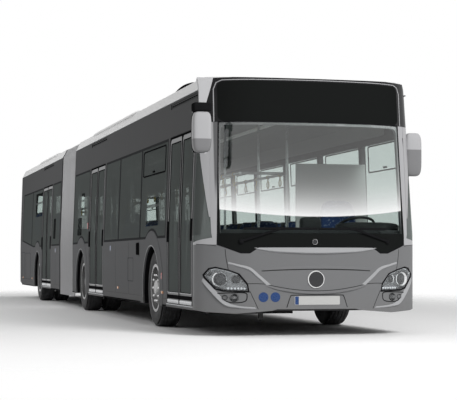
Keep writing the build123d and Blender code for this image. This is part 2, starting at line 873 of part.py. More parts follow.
with BuildPart() as turntable_base:
    add(upright(0, pivot_station, base_low_z, turntable_plate, turntable_hub))
    add(upright(0, pivot_station, base_low_z, floor_z - base_low_z - turntable_gap, pivot_radius))
    for side in (-1, 1):
        x0, x1 = side * beam_x - beam_width / 2, side * beam_x + beam_width / 2
        add(side_block(front_car_end - beam_reach, pivot_station, base_low_z, base_high_z, x0, x1))
        add(side_block(front_car_end - beam_reach, front_car_end - turntable_plate, base_low_z,
                       floor_low_z, x0, x1))
save(turntable_base.part, "turntable_base")

with BuildPart() as turntable_ring:
    add(upright(0, pivot_station, floor_low_z, floor_z - floor_low_z, turntable_radius))
    add(upright(0, pivot_station, ring_low_z, floor_z - ring_low_z, turntable_hub))
    for side in (-1, 1):
        x0, x1 = side * beam_x - beam_width / 2, side * beam_x + beam_width / 2
        add(side_block(pivot_station, rear_car_start + beam_reach, ring_low_z, floor_low_z, x0, x1))
    add(upright(0, pivot_station, 0, body_width, pivot_radius + stub_clear), mode=Mode.SUBTRACT)
save(turntable_ring.part, "turntable_ring")


def bellows_section(station, inset):
    """Arch-shaped outline of the bellows at one station."""
    right = [(x - inset * ix, z - inset * iz) for x, z, ix, iz in section_points]
    half = [(right[0][0], bellows_low_z)] + right
    with BuildSketch(cross_plane(station)) as outline:
        with BuildLine():
            Polyline(half + [(-x, z) for x, z in reversed(half[:-1])], close=True)
        make_face()
    return outline.sketch


bellows_start = front_car_end + bellows_gap
bellows_end = rear_car_start - bellows_gap
half_fold = (bellows_end - bellows_start) / (2 * bellows_folds)
fold_sections = [
    bellows_section(bellows_start + i * half_fold, bellows_inset + (bellows_fold if i % 2 else 0))
    for i in range(2 * bellows_folds + 1)
]

with BuildPart() as bellows:
    loft(fold_sections, ruled=True)
    add(section_prism(bellows_start - wall, bellows_end + wall,
                      bellows_inset + bellows_fold + bellows_wall, 0), mode=Mode.SUBTRACT)
save(bellows.part, "bellows")


# --- wheels, knuckles and axles ---
def revolve_wheel(points, x, station, side):
    """Ring from (outwards, radius) points, turned about the wheel's own axis."""
    centre = (side * x, y_at(station), tyre_radius)
    with BuildPart() as ring:
        with BuildSketch(Plane(origin=centre, x_dir=(side, 0, 0), z_dir=(0, 0, 1))):
            with BuildLine():
                Polyline(points, close=True)
            make_face()
        revolve(axis=Axis(centre, (side, 0, 0)))
    return ring.part


def tyre_ring(x, station, side):
    """One tyre."""
    outline = tyre_profile + [(-a, r) for a, r in reversed(tyre_profile)]
    return revolve_wheel(outline, x, station, side)


def rim_barrel(x, station, side):
    """The barrel under one tyre, with its flanges."""
    outline = [
        (-rim_half, inner_r), (rim_half, inner_r), (rim_half, flange_radius),
        (rim_half - flange_width, flange_radius), (rim_half - flange_width, tyre_rim_radius),
        (flange_width - rim_half, tyre_rim_radius), (flange_width - rim_half, flange_radius),
        (-rim_half, flange_radius),
    ]
    return revolve_wheel(outline, x, station, side)


def disc_holes(x, station, side, radius, count, ring_radius, depth):
    """Hand holes through a wheel disc."""
    centre = (side * x, y_at(station), tyre_radius)
    with BuildPart() as holes:
        with BuildSketch(Plane(origin=centre, x_dir=(0, 1, 0), z_dir=(side, 0, 0))):
            with PolarLocations(ring_radius, count):
                Circle(radius)
        extrude(amount=depth)
    return holes.part


wheels = [
    # name, station, side, twin
    ("front_left", front_axle_station, 1, False),
    ("front_right", front_axle_station, -1, False),
    ("middle_left", middle_axle_station, 1, True),
    ("middle_right", middle_axle_station, -1, True),
    ("rear_left", rear_axle_station, 1, True),
    ("rear_right", rear_axle_station, -1, True),
]

for name, station, side, twin in wheels:
    with BuildPart() as tyre:
        add(tyre_ring(wheel_x, station, side))
        if twin:
            add(tyre_ring(wheel_x - twin_pitch, station, side))
    save(tyre.part, f"tyre_{name}")

    bore = (axle_radius if twin else spindle_radius) + stub_clear
    with BuildPart() as rim:
        add(rim_barrel(wheel_x, station, side))
        if twin:
            middle = -twin_pitch / 2
            add(rim_barrel(wheel_x - twin_pitch, station, side))
            add(revolve_wheel([(middle - rim_half, inner_r), (middle + rim_half, inner_r),
                               (middle + rim_half, tyre_rim_radius - flange_width),
                               (middle - rim_half, tyre_rim_radius - flange_width)],
                              wheel_x, station, side))
            face = middle + disc_thick / 2
            low = middle - 2 * disc_thick
            reach = hub_reach - 2 * cap_thick
        else:
            face = disc_place
            low = disc_place - disc_thick
            reach = hub_reach
        add(revolve_wheel([(face - disc_thick, hub_radius - rim_thick), (face, hub_radius - rim_thick),
                           (face, inner_r + 1), (face - disc_thick, inner_r + 1)],
                          wheel_x, station, side))
        add(revolve_wheel([(low, bore), (low, hub_radius), (reach, hub_radius - rim_thick),
                           (reach + cap_thick, hub_radius - 2 * rim_thick), (reach + cap_thick, 0),
                           (reach, 0), (reach, bore)], wheel_x, station, side))
        add(disc_holes(wheel_x + face - 2 * disc_thick, station, side, hand_hole_radius, hand_holes,
                       hand_hole_ring, 3 * disc_thick), mode=Mode.SUBTRACT)
    save(rim.part, f"rim_{name}")


def cross_shaft(station, radius, x0, x1):
    """Shaft across the bus at wheel height."""
    return wheel_cylinder(station, radius, min(x0, x1), max(x0, x1))


kingpin_x = wheel_x - kingpin_offset

for side, side_name in ((1, "left"), (-1, "right")):
    with BuildPart() as knuckle:
        add(upright(side * kingpin_x, front_axle_station, tyre_radius - sleeve_half,
                    2 * sleeve_half, sleeve_radius))
        add(cross_shaft(front_axle_station, spindle_radius, side * kingpin_x,
                        side * (wheel_x + hub_reach - 1)))
        add(upright(side * kingpin_x, front_axle_station, 0, body_width,
                    kingpin_radius + stub_clear), mode=Mode.SUBTRACT)
    save(knuckle.part, f"knuckle_{side_name}")


def axle_beam(station, leg_x, leg_high_z):
    """Low beam across the bus, with a leg up inside each wheel box and pads to the floor."""
    with BuildPart() as beam:
        add(side_block(station - beam_half, station + beam_half, beam_low_z, beam_high_z,
                       -leg_x - leg_width, leg_x + leg_width))
        for side in (-1, 1):
            x0, x1 = sorted((side * leg_x, side * (leg_x + leg_width)))
            add(side_block(station - leg_half, station + leg_half, beam_low_z, leg_high_z, x0, x1))
            x0, x1 = side * beam_x - beam_width / 2, side * beam_x + beam_width / 2
            add(side_block(station - beam_half, station + beam_half, beam_low_z, floor_low_z,
                           x0, x1))
    return beam.part


with BuildPart() as front_axle:
    leg_x = steered_box_inner + box_sheet + leg_gap
    fork_z = sleeve_half + steer_limit_room
    add(axle_beam(front_axle_station, leg_x, tyre_radius + fork_z + fork_thick))
    for side in (-1, 1):
        x0, x1 = sorted((side * leg_x, side * kingpin_x))
        for z in (tyre_radius + fork_z, tyre_radius - fork_z - fork_thick):
            add(side_block(front_axle_station - fork_half, front_axle_station + fork_half, z,
                           z + fork_thick, x0, x1))
            add(upright(side * kingpin_x, front_axle_station, z, fork_thick, fork_half))
        add(upright(side * kingpin_x, front_axle_station, tyre_radius - fork_z - fork_thick,
                    2 * (fork_z + fork_thick), kingpin_radius))
save(front_axle.part, "front_axle")

for name, station in (("middle_axle", middle_axle_station), ("rear_axle", rear_axle_station)):
    with BuildPart() as axle:
        leg_x = twin_box_inner + box_sheet + leg_gap
        add(axle_beam(station, leg_x, tyre_radius + axle_radius + leg_gap))
        for side in (-1, 1):
            add(cross_shaft(station, axle_radius, side * leg_x,
                            side * (wheel_x + hub_reach - 2 * cap_thick - 1)))
        if name == "rear_axle":
            add(side_block(station - 3 * beam_half, station + 3 * beam_half, beam_low_z - leg_gap,
                           floor_low_z, -beam_x / 2, beam_x / 2))
    save(axle.part, name)


# --- inside: seats, rails, driver's place, engine ---
def bench(station, low_z, side):
    """A pair of seats on one leg, looking forward."""
    low = low_z + seat_height - seat_pad
    back = station + seat_reach
    profile = [
        (station + seat_leg, low_z), (station + 2 * seat_leg, low_z), (station + 2 * seat_leg, low),
        (back, low), (back + seat_rake, low_z + seat_back),
        (back + seat_rake - seat_pad, low_z + seat_back), (back - seat_pad, low_z + seat_height),
        (station, low_z + seat_height), (station, low), (station + seat_leg, low),
    ]
    wall_x = half_width - wall - bench_gap
    x0, x1 = sorted((side * (wall_x - bench_width), side * wall_x))
    return side_prism(profile, x0, x1)


def rail_frame(rows, s0, s1):
    """Two long rails, their cross bars and the uprights that carry them."""
    with BuildPart() as rails:
        for side in (-1, 1):
            with BuildSketch(cross_plane(s0)):
                with Locations((side * rail_x, rail_z)):
                    Circle(rail_radius)
            extrude(amount=-(s1 - s0))
        for station in (s0 + rail_radius, s1 - rail_radius):
            with BuildSketch(Plane.YZ.offset(-rail_x)):
                with Locations((y_at(station), rail_z)):
                    Circle(rail_radius)
            extrude(amount=2 * rail_x)
        for station, low_z, side in rows:
            for x in (-rail_x, rail_x):
                if side * x >= 0:
                    add(upright(x, station, low_z, rail_top_z - low_z, rail_radius))
    return rails.part


with BuildPart() as front_seats:
    for station, low_z, side in front_seat_rows:
        add(bench(station, low_z, side))
    driver = side_prism([
        (1050, cab_floor_z), (1250, cab_floor_z), (1250, cab_floor_z + 300),
        (1450, cab_floor_z + 320), (1560, cab_floor_z + 1050), (1480, cab_floor_z + 1060),
        (1350, cab_floor_z + 430), (930, cab_floor_z + 420), (930, cab_floor_z + 320),
        (1050, cab_floor_z + 300),
    ], steering_x - steering_radius, steering_x + steering_radius)
    add(driver)
save(front_seats.part, "front_seats")

with BuildPart() as rear_seats:
    for station, low_z, side in rear_seat_rows:
        add(bench(station, low_z, side))
save(rear_seats.part, "rear_seats")

save(rail_frame(front_rails, 2150, 9420), "front_handrails")
save(rail_frame(rear_rails, 11480, 16920), "rear_handrails")

steering_plane = Plane(
    origin=(steering_x, y_at(steering_station), steering_z), x_dir=(1, 0, 0),
    z_dir=(0, sin(radians(steering_tilt)), cos(radians(steering_tilt))))

with BuildPart() as steering_wheel:
    with BuildSketch(Plane(origin=steering_plane.origin, x_dir=(1, 0, 0),
                           z_dir=-steering_plane.y_dir)):
        with Locations((steering_radius - steering_tube, 0)):
            Circle(steering_tube)
    revolve(axis=Axis(steering_plane.origin, steering_plane.z_dir))
    with BuildSketch(steering_plane):
        Rectangle(2 * (steering_radius - steering_tube), 3 * steering_tube)
        Circle(4 * steering_tube)
    extrude(amount=-0.8 * steering_tube, both=True)
    with BuildSketch(steering_plane):
        Circle(2 * steering_tube)
    extrude(amount=-steering_column)
save(steering_wheel.part, "steering_wheel")

with BuildPart() as cab:
    add(side_block(dash_start, dash_end, dash_low_z, dash_z, -rail_x, body_width))
    add(side_block(dash_start, dash_door_end, dash_low_z, dash_z, -body_width, 0))
    add(side_block(dash_start, cab_back, floor_z, cab_floor_z, cab_inner, body_width))
    add(side_block(dash_start, dash_end - 2 * wall, floor_z, dash_z, cab_inner, body_width))
    add(side_block(cab_back, cab_back + cab_panel, floor_z, cab_screen_z, cab_inner - cab_panel,
                   body_width))
    add(side_block(dash_end - wall, cab_back, floor_z, dash_z, cab_inner - cab_panel, cab_inner))
    add(inner["front"], mode=Mode.INTERSECT)
    add(steering_wheel.part, mode=Mode.SUBTRACT)
save(cab.part, "cab")

with BuildPart() as engine:
    add(side_block(engine_start, engine_end, podium_z - podium_thick - engine_height,
                   podium_z - podium_thick, -engine_half, engine_half))
save(engine.part, "engine")


# --- outside: mirrors and wipers ---
def mirror_head(x, station, z):
    """Rounded mirror housing."""
    with BuildPart() as head:
        add(side_block(station - mirror_depth / 2, station + mirror_depth / 2,
                       z - mirror_height / 2, z + mirror_height / 2,
                       x - mirror_width / 2, x + mirror_width / 2))
        fillet(head.edges(), mirror_edge)
    return head.part


door_mirror_station = -mirror_reach + mirror_depth / 2
door_mirror_x = -(mirror_side - mirror_width / 2)
driver_mirror_x = mirror_side - mirror_width / 2
head_top_z = mirror_door_z + mirror_height / 2

with BuildPart() as mirrors:
    with BuildSketch(Plane.XY.offset(head_top_z - mirror_edge)) as stem_foot:
        with Locations((door_mirror_x, y_at(door_mirror_station))):
            Rectangle(mirror_stem, mirror_stem)
    with BuildSketch(Plane.XY.offset(mirror_root_z)) as stem_root:
        with Locations((-cant_half + mirror_stem, y_at(mirror_root_station))):
            Rectangle(mirror_root_width, mirror_root_width)
    loft(ruled=True)
    add(side_block(mirror_driver_station - mirror_stem / 2, mirror_driver_station + mirror_stem / 2,
                   mirror_driver_z + mirror_height / 2 - mirror_stem,
                   mirror_driver_z + mirror_height / 2 - mirror_edge,
                   cant_half - wall, driver_mirror_x))
    add(outer["front"], mode=Mode.SUBTRACT)
    add(mirror_head(door_mirror_x, door_mirror_station, mirror_door_z))
    add(mirror_head(driver_mirror_x, mirror_driver_station, mirror_driver_z))
save(mirrors.part, "mirrors")

wiper_skin = difference(front_body(-wiper_clear - wiper_thick), front_body(-wiper_clear))
boss_skin = difference(front_body(-wiper_clear - wiper_thick), front_body(glass_inset))

with BuildPart() as wipers:
    for side in (-1, 1):
        with BuildSketch(cross_plane(-2 * wall)) as bars:
            with BuildLine():
                Line((side * wiper_x, wiper_z), (side * wiper_mid_x, wiper_mid_z))
            trace(line_width=wiper_bar)
            with BuildLine():
                Line((side * (wiper_mid_x + wiper_half), wiper_mid_z),
                     (side * (wiper_mid_x - wiper_half), wiper_mid_z))
            trace(line_width=wiper_bar)
        bar_prism = extrude(bars.sketch, amount=-nose_end, mode=Mode.PRIVATE)
        add(common(wiper_skin, bar_prism))
        with BuildSketch(cross_plane(-2 * wall)) as boss:
            with Locations((side * wiper_x, wiper_z)):
                Circle(wiper_boss)
        boss_prism = extrude(boss.sketch, amount=-nose_end, mode=Mode.PRIVATE)
        add(common(boss_skin, boss_prism))
save(wipers.part, "wipers")
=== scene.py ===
"""Looks of an articulated city bus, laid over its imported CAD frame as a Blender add-on."""

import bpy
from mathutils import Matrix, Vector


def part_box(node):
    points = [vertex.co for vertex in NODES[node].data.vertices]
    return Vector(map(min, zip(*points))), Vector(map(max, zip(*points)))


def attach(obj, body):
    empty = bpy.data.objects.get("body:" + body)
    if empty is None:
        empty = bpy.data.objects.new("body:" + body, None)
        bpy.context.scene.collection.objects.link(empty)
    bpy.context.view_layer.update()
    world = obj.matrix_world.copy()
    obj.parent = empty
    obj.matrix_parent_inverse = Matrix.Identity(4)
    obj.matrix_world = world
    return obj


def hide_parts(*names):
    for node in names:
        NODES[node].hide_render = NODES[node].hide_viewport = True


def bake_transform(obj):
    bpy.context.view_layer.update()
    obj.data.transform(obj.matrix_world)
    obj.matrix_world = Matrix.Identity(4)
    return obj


bl_info = {
    "name": "Articulated City Bus",
    "version": (1, 0, 0),
    "blender": (4, 5, 0),
    "location": "View3D > Sidebar > City Bus",
    "description": "Builds the visible surfaces of an articulated city bus around its CAD frame",
    "category": "Object",
}

from functools import reduce
from math import cos, pi, radians, sin, tan

import bmesh
import bpy
import numpy as np
from mathutils import Vector

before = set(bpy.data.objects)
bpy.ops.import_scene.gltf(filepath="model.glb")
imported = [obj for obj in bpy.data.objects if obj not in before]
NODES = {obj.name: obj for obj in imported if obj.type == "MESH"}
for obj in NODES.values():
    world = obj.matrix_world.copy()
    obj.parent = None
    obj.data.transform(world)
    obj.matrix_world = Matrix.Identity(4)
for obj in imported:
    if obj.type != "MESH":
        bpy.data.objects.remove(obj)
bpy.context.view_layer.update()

# ---------------------------------------------------------------- shape of the body, in metres
FRONT_Y = -8.9125
HALF_LEVELS = np.array([0.0, 1.120, 2.702, 2.850, 2.945, 2.985])
HALF_WIDTHS = np.array([1.275, 1.275, 1.215, 1.140, 0.900, 0.0])
NOSE, SHOULDER, CORNER = 4.650, 0.900, 0.270
SHOULDER_TURN = radians(45)
NOSE_LEAN, WAIST_Z, CANT_Z, CROWN_Z = 0.130, 1.120, 2.702, 2.985
TAIL_S, TAIL_LEAN, TAIL_RADIUS = 18.125, 0.090, 0.260
WHEEL_Z, WHEEL_X, ARCH_RADIUS = 0.482, 1.095, 0.716
AXLES = {"front": 2.805, "middle": 8.705, "rear": 14.695}
# name, first and last station, body of the car
DOORS = (("door_1", 0.494, 1.904, "front_car"), ("door_2", 6.460, 7.910, "front_car"),
         ("door_3", 12.540, 14.020, "rear_car"))
# car, side of the bus (-1 is the door side), stations between its panes
PANES = (("front_car", -1, (1.960, 3.590, 5.200, 6.416)), ("front_car", -1, (7.954, 9.630)),
         ("front_car", 1, (0.560, 1.930, 3.590, 5.200, 6.800, 8.250, 9.630)),
         ("rear_car", -1, (11.380, 12.496)), ("rear_car", -1, (14.064, 15.750, 17.480)),
         ("rear_car", 1, (11.380, 12.960, 14.540, 16.020, 17.480)))
PANE_Z = (1.098, 2.284)
RISE_S, RISE = 15.400, 0.190


def spread(*values):
    """The values as arrays of numbers, broadcast against each other."""
    return np.broadcast_arrays(*(np.asarray(value, float) for value in values))


def half_at(z):
    """Half width of the body at height z: straight lines between the section's corners."""
    return np.interp(z, HALF_LEVELS, HALF_WIDTHS)


def place(x, station, z):
    """Points from x, station and height arrays, which broadcast against each other."""
    x, station, z = spread(x, station, z)
    return np.stack([x, station + FRONT_Y, z], axis=-1)


def side_map(side):
    """Mapping of a side wall: (station, z, out) goes to x = side * (half_at(z) + out)."""
    return lambda a, b, out: place(side * (half_at(b) + out), a, b)


def outline_at(u, half):
    """Front outline at arc length u from the middle: three arcs of falling radius, then straight back.

    Each arc turns the direction angle by length / radius, and its points are its centre plus radius
    times (sin, -cos) of that angle. Gives x, station and the angle of the outward normal."""
    reach = half + 0.004
    start = np.arcsin((reach - SHOULDER * sin(SHOULDER_TURN) - CORNER * (1 - sin(SHOULDER_TURN)))
                      / (NOSE - SHOULDER))
    a = np.abs(u)
    l1 = NOSE * start
    l2 = l1 + SHOULDER * (SHOULDER_TURN - start)
    l3 = l2 + CORNER * (pi / 2 - SHOULDER_TURN)
    angle = np.where(a < l1, a / NOSE,
                     np.where(a < l2, start + (a - l1) / SHOULDER,
                              np.where(a < l3, SHOULDER_TURN + (a - l2) / CORNER, pi / 2)))
    cx1, cs1 = np.sin(start) * (NOSE - SHOULDER), NOSE - np.cos(start) * (NOSE - SHOULDER)
    cx2 = cx1 + sin(SHOULDER_TURN) * (SHOULDER - CORNER)
    cs2 = cs1 - cos(SHOULDER_TURN) * (SHOULDER - CORNER)
    radius = np.where(a < l1, NOSE, np.where(a < l2, SHOULDER, CORNER))
    cx = np.where(a < l1, 0.0, np.where(a < l2, cx1, cx2))
    cs = np.where(a < l1, NOSE, np.where(a < l2, cs1, cs2))
    x = cx + radius * np.sin(angle)
    s = cs - radius * np.cos(angle) + np.maximum(a - l3, 0)
    return np.sign(u) * x, s, np.sign(u) * angle


def front_map(u, z, out):
    """Mapping of the front: arc length u and height z, leaning back above the waist."""
    u, z, out = spread(u, z, out)
    x0, s0, angle = outline_at(u, 1.275)
    rise = np.clip((z - WAIST_Z) / (CROWN_Z - WAIST_Z), 0, None)
    x1, s1, _ = outline_at(u, 1.275 - 0.060 * (CROWN_Z - WAIST_Z) / (CANT_Z - WAIST_Z))
    lean = NOSE_LEAN * (CROWN_Z - WAIST_Z) / (CANT_Z - WAIST_Z)
    x = x0 + (x1 - x0) * rise
    s = s0 + (s1 + lean - s0) * rise
    limit = half_at(z)
    x = np.clip(x, -limit, limit)
    return place(x + out * np.sin(angle), s - out * np.cos(angle), z)


def front_at_x(x, z, out):
    """Mapping of the front by x instead of arc length: u is found on a fine table of the outline."""
    x, z, out = spread(x, z, out)
    table = np.linspace(0, 1.55, 600)
    xs = outline_at(table, 1.275)[0]
    return front_map(np.sign(x) * np.interp(np.abs(x), xs, table), z, out)


def tail_map(x, z, out):
    """Mapping of the rear end: upright to the waist, then leaning forward, round at the corners."""
    x, z, out = spread(x, z, out)
    lean = TAIL_LEAN * np.clip((z - WAIST_Z) / (CROWN_Z - WAIST_Z), 0, None)
    over = np.clip(np.abs(x) - (1.279 - TAIL_RADIUS), 0, TAIL_RADIUS * 0.999)
    drop = TAIL_RADIUS - np.sqrt(TAIL_RADIUS ** 2 - over ** 2)
    return place(x, TAIL_S - lean - drop + out, z)


def roof_map(x, station, out):
    """Mapping of the roof: height from the section's slopes at x, out straight up."""
    x = np.asarray(x, float)
    z = np.interp(np.abs(x), HALF_WIDTHS[::-1], HALF_LEVELS[::-1])
    return place(x, station, z + out)


# ---------------------------------------------------------------- mesh making
MERGE = 2e-5  # points nearer than this become one


def loop_faces(count_u, count_v, close_u, close_v, first):
    """Quads of a grid of count_u by count_v points, wrapped where it is closed."""
    index = np.arange(count_u * count_v).reshape(count_u, count_v) + first
    if close_u:
        index = np.vstack([index, index[:1]])
    if close_v:
        index = np.hstack([index, index[:, :1]])
    return np.stack([index[:-1, :-1], index[1:, :-1], index[1:, 1:], index[:-1, 1:]], -1).reshape(-1, 4)


class Surface:
    """Gathers grids and end caps, and makes one mesh object of them."""

    def __init__(self):
        self.points, self.quads, self.caps, self.count = [], [], [], 0

    def grid(self, points, close_u=False, close_v=False, cap_u=False):
        """Adds a grid of shape (u, v, 3); caps close its first and last rows with one face each."""
        nu, nv = points.shape[:2]
        self.points.append(points.reshape(-1, 3))
        self.quads.append(loop_faces(nu, nv, close_u, close_v, self.count))
        if cap_u:
            index = np.arange(nu * nv).reshape(nu, nv) + self.count
            self.caps += [index[0][::-1], index[-1]]
        self.count += nu * nv

    def turn(self, profile, centre, axis, steps=48, **how):
        """Adds a surface of revolution, see turned."""
        self.grid(turned(profile, centre, axis, steps), close_v=True, **how)

    def box(self, *shape):
        """Adds a rounded box, see superbox."""
        self.grid(superbox(*shape), close_v=True)

    def build(self, name, finish, body, slot, replaces=(), sharp=35.0):
        """Turns the gathered grids into an object with outward normals that rides on a body.

        The finish is a key of FINISHES, or a material."""
        mesh = bpy.data.meshes.new(name)
        points, quads = np.vstack(self.points), np.vstack(self.quads)
        sizes = np.array([4] * len(quads) + [len(cap) for cap in self.caps], np.int32)
        loops = np.concatenate([quads.ravel()] + self.caps).astype(np.int32)
        mesh.vertices.add(len(points))
        mesh.vertices.foreach_set("co", points.astype(np.float32).ravel())
        mesh.loops.add(len(loops))
        mesh.loops.foreach_set("vertex_index", loops)
        mesh.polygons.add(len(sizes))
        mesh.polygons.foreach_set("loop_start", (np.cumsum(sizes) - sizes).astype(np.int32))
        mesh.update(calc_edges=True)
        mesh.validate()
        merged = bmesh.new()
        merged.from_mesh(mesh)
        bmesh.ops.remove_doubles(merged, verts=merged.verts, dist=MERGE)
        bmesh.ops.recalc_face_normals(merged, faces=merged.faces)
        merged.to_mesh(mesh)
        merged.free()
        mesh.shade_smooth()
        mesh.set_sharp_from_angle(angle=radians(sharp))
        mesh.materials.append(skin(finish) if isinstance(finish, str) else finish)
        piece = bpy.data.objects.new(name, mesh)
        bpy.context.scene.collection.objects.link(piece)
        if body:
            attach(piece, body)
        if replaces:
            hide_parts(*replaces)
        return piece


def surfaces(count):
    """That many empty surfaces."""
    return [Surface() for _ in range(count)]


def unit(vectors):
    """The vectors, each divided by its length."""
    return vectors / np.linalg.norm(vectors, axis=-1, keepdims=True)


def path_normals(path, closed):
    """Unit normals of a path in the plane, scaled at its corners so that offsets keep their width."""
    if closed:
        before, after = path - np.roll(path, 1, 0), np.roll(path, -1, 0) - path
    else:
        step = np.diff(path, axis=0)
        before, after = np.vstack([step[:1], step]), np.vstack([step, step[-1:]])
    before, after = unit(before), unit(after)
    mean = unit(before + after)
    normal = np.stack([-mean[:, 1], mean[:, 0]], -1)
    across = np.stack([-before[:, 1], before[:, 0]], -1)
    return normal / np.clip((normal * across).sum(1, keepdims=True), 0.4, 1)


def lay(mapping, plane, out):
    """Puts points of a plane through a mapping, at heights that broadcast to them."""
    return mapping(plane[..., 0], plane[..., 1], np.broadcast_to(out, plane.shape[:-1]))


def strip(surface, mapping, path, width, low, high, closed=False, bevel=0.3, shift=0.0):
    """Adds a moulding along a path in a mapping's plane, with bevelled upper edges.

    Its section is six points across the width, from low to high and back to low."""
    path = np.asarray(path, float)
    w, h = width / 2, high - low
    across = np.array([-w, -w, -w * (1 - bevel), w * (1 - bevel), w, w]) + shift
    out = np.array([low, high - bevel * h, high, high, high - bevel * h, low])
    plane = path[:, None, :] + path_normals(path, closed)[:, None, :] * across[None, :, None]
    surface.grid(lay(mapping, plane, out), close_u=closed, close_v=True, cap_u=not closed)


def bar(surface, mapping, start, end, step, width, low, high, **how):
    """Adds a straight moulding from start to end, with a point at each step."""
    strip(surface, mapping, dense([start, end], step), width, low, high, **how)


def rounded(a0, a1, b0, b1, radius, steps=6):
    """Rounded rectangle as a closed path, anticlockwise: a quarter circle at each corner."""
    radius = min(radius, (a1 - a0) / 2 - 1e-5, (b1 - b0) / 2 - 1e-5)
    t = np.linspace(0, pi / 2, steps)
    corners = [(a1 - radius, b1 - radius, 0), (a0 + radius, b1 - radius, 1),
               (a0 + radius, b0 + radius, 2), (a1 - radius, b0 + radius, 3)]
    return np.vstack([np.stack([ca + radius * np.cos(t + k * pi / 2),
                                cb + radius * np.sin(t + k * pi / 2)], -1) for ca, cb, k in corners])


def dense(path, step, closed=False):
    """The path with more points on its straight runs, none further apart than step."""
    path = np.asarray(path, float)
    ends = np.vstack([path[1:], path[:1]]) if closed else path[1:]
    starts = path if closed else path[:-1]
    runs = [a + (b - a) * np.linspace(0, 1, max(1, int(np.ceil(np.linalg.norm(b - a) / step))),
                                      endpoint=False)[:, None] for a, b in zip(starts, ends)]
    return np.vstack(runs if closed else runs + [path[-1:]])


def pane_path(a0, a1, b0, b1, radius, step, steps=6):
    """Rounded rectangle with more points on its sides."""
    return dense(rounded(a0, a1, b0, b1, radius, steps), step, True)


def around(count):
    """Angles of that many even steps round a circle."""
    return np.linspace(0, 2 * pi, count, endpoint=False)


def circle_path(a, b, radius, steps=32):
    """Circle as a closed path."""
    t = around(steps)
    return np.stack([a + radius * np.cos(t), b + radius * np.sin(t)], -1)


def plate(surface, mapping, path, low, high, bevel=0.002, rings=1, dome=0.0):
    """Solid plate inside a closed path, its top edge bevelled and its top drawn in to the middle.

    Rings shrink towards the path's centre, each one raised by dome times (1 - share squared)."""
    path = np.asarray(path, float)
    centre = path.mean(0)
    inward = np.concatenate([[1.0], np.linspace(1, 0.02, rings + 1)[1:]])
    share = np.concatenate([[0.02, 1.0, 1.0], inward * (1 - bevel / np.abs(path - centre).max())])
    out = np.concatenate([[low, low, high - bevel], high + dome * (1 - inward ** 2)])
    plane = centre + (path - centre)[None] * share[:, None, None]
    surface.grid(lay(mapping, plane, out[:, None]), close_v=True, cap_u=True)


def flat_map(origin, right, up):
    """Mapping of a flat plane: origin + a * right + b * up + out * (right x up)."""
    o, r, v = (np.asarray(part, float) for part in (origin, right, up))
    n = np.cross(r, v)
    return lambda a, b, out: (o + np.asarray(a)[..., None] * r + np.asarray(b)[..., None] * v
                              + np.asarray(out)[..., None] * n)


def turned(profile, centre, axis, steps=48):
    """Surface of revolution: (along, radius) pairs turned about an axis through centre."""
    profile = np.asarray(profile, float)
    axis = unit(np.asarray(axis, float))
    side = unit(np.cross(axis, (0, 0, 1.0) if abs(axis[2]) < 0.9 else (1.0, 0, 0)))
    other = np.cross(axis, side)
    t = around(steps)
    ring = np.cos(t)[:, None] * side + np.sin(t)[:, None] * other
    return (np.asarray(centre, float) + profile[:, None, :1] * axis
            + profile[:, None, 1:] * ring[None])


def tube(surface, path, radius, sides=10, closed=False, flat=1.0):
    """Round bar along a path in space: a circle carried on frames that turn as little as they can."""
    path = np.asarray(path, float)
    step = unit(np.roll(path, -1, 0) - np.roll(path, 1, 0) if closed else np.gradient(path, axis=0))
    helper = (0, 0, 1.0) if np.abs(step[:, 2]).max() < 0.95 else (1.0, 0.35, 0.1)
    side = unit(np.cross(step, helper))
    other = np.cross(side, step)
    t = around(sides)[None, :, None]
    grid = path[:, None] + radius * (np.cos(t) * side[:, None] + flat * np.sin(t) * other[:, None])
    surface.grid(grid, close_u=closed, close_v=True, cap_u=not closed)


def smooth_path(points, steps=12):
    """Catmull-Rom curve through a few points in space or in a plane."""
    p = np.asarray(points, float)
    p = np.vstack([2 * p[0] - p[1], p, 2 * p[-1] - p[-2]])
    t = np.linspace(0, 1, steps, endpoint=False)[:, None]
    parts = [0.5 * (2 * b + (c - a) * t + (2 * a - 5 * b + 4 * c - d) * t ** 2
                    + (3 * b - a - 3 * c + d) * t ** 3) for a, b, c, d in zip(p, p[1:], p[2:], p[3:])]
    return np.vstack(parts + [p[-2:-1]])


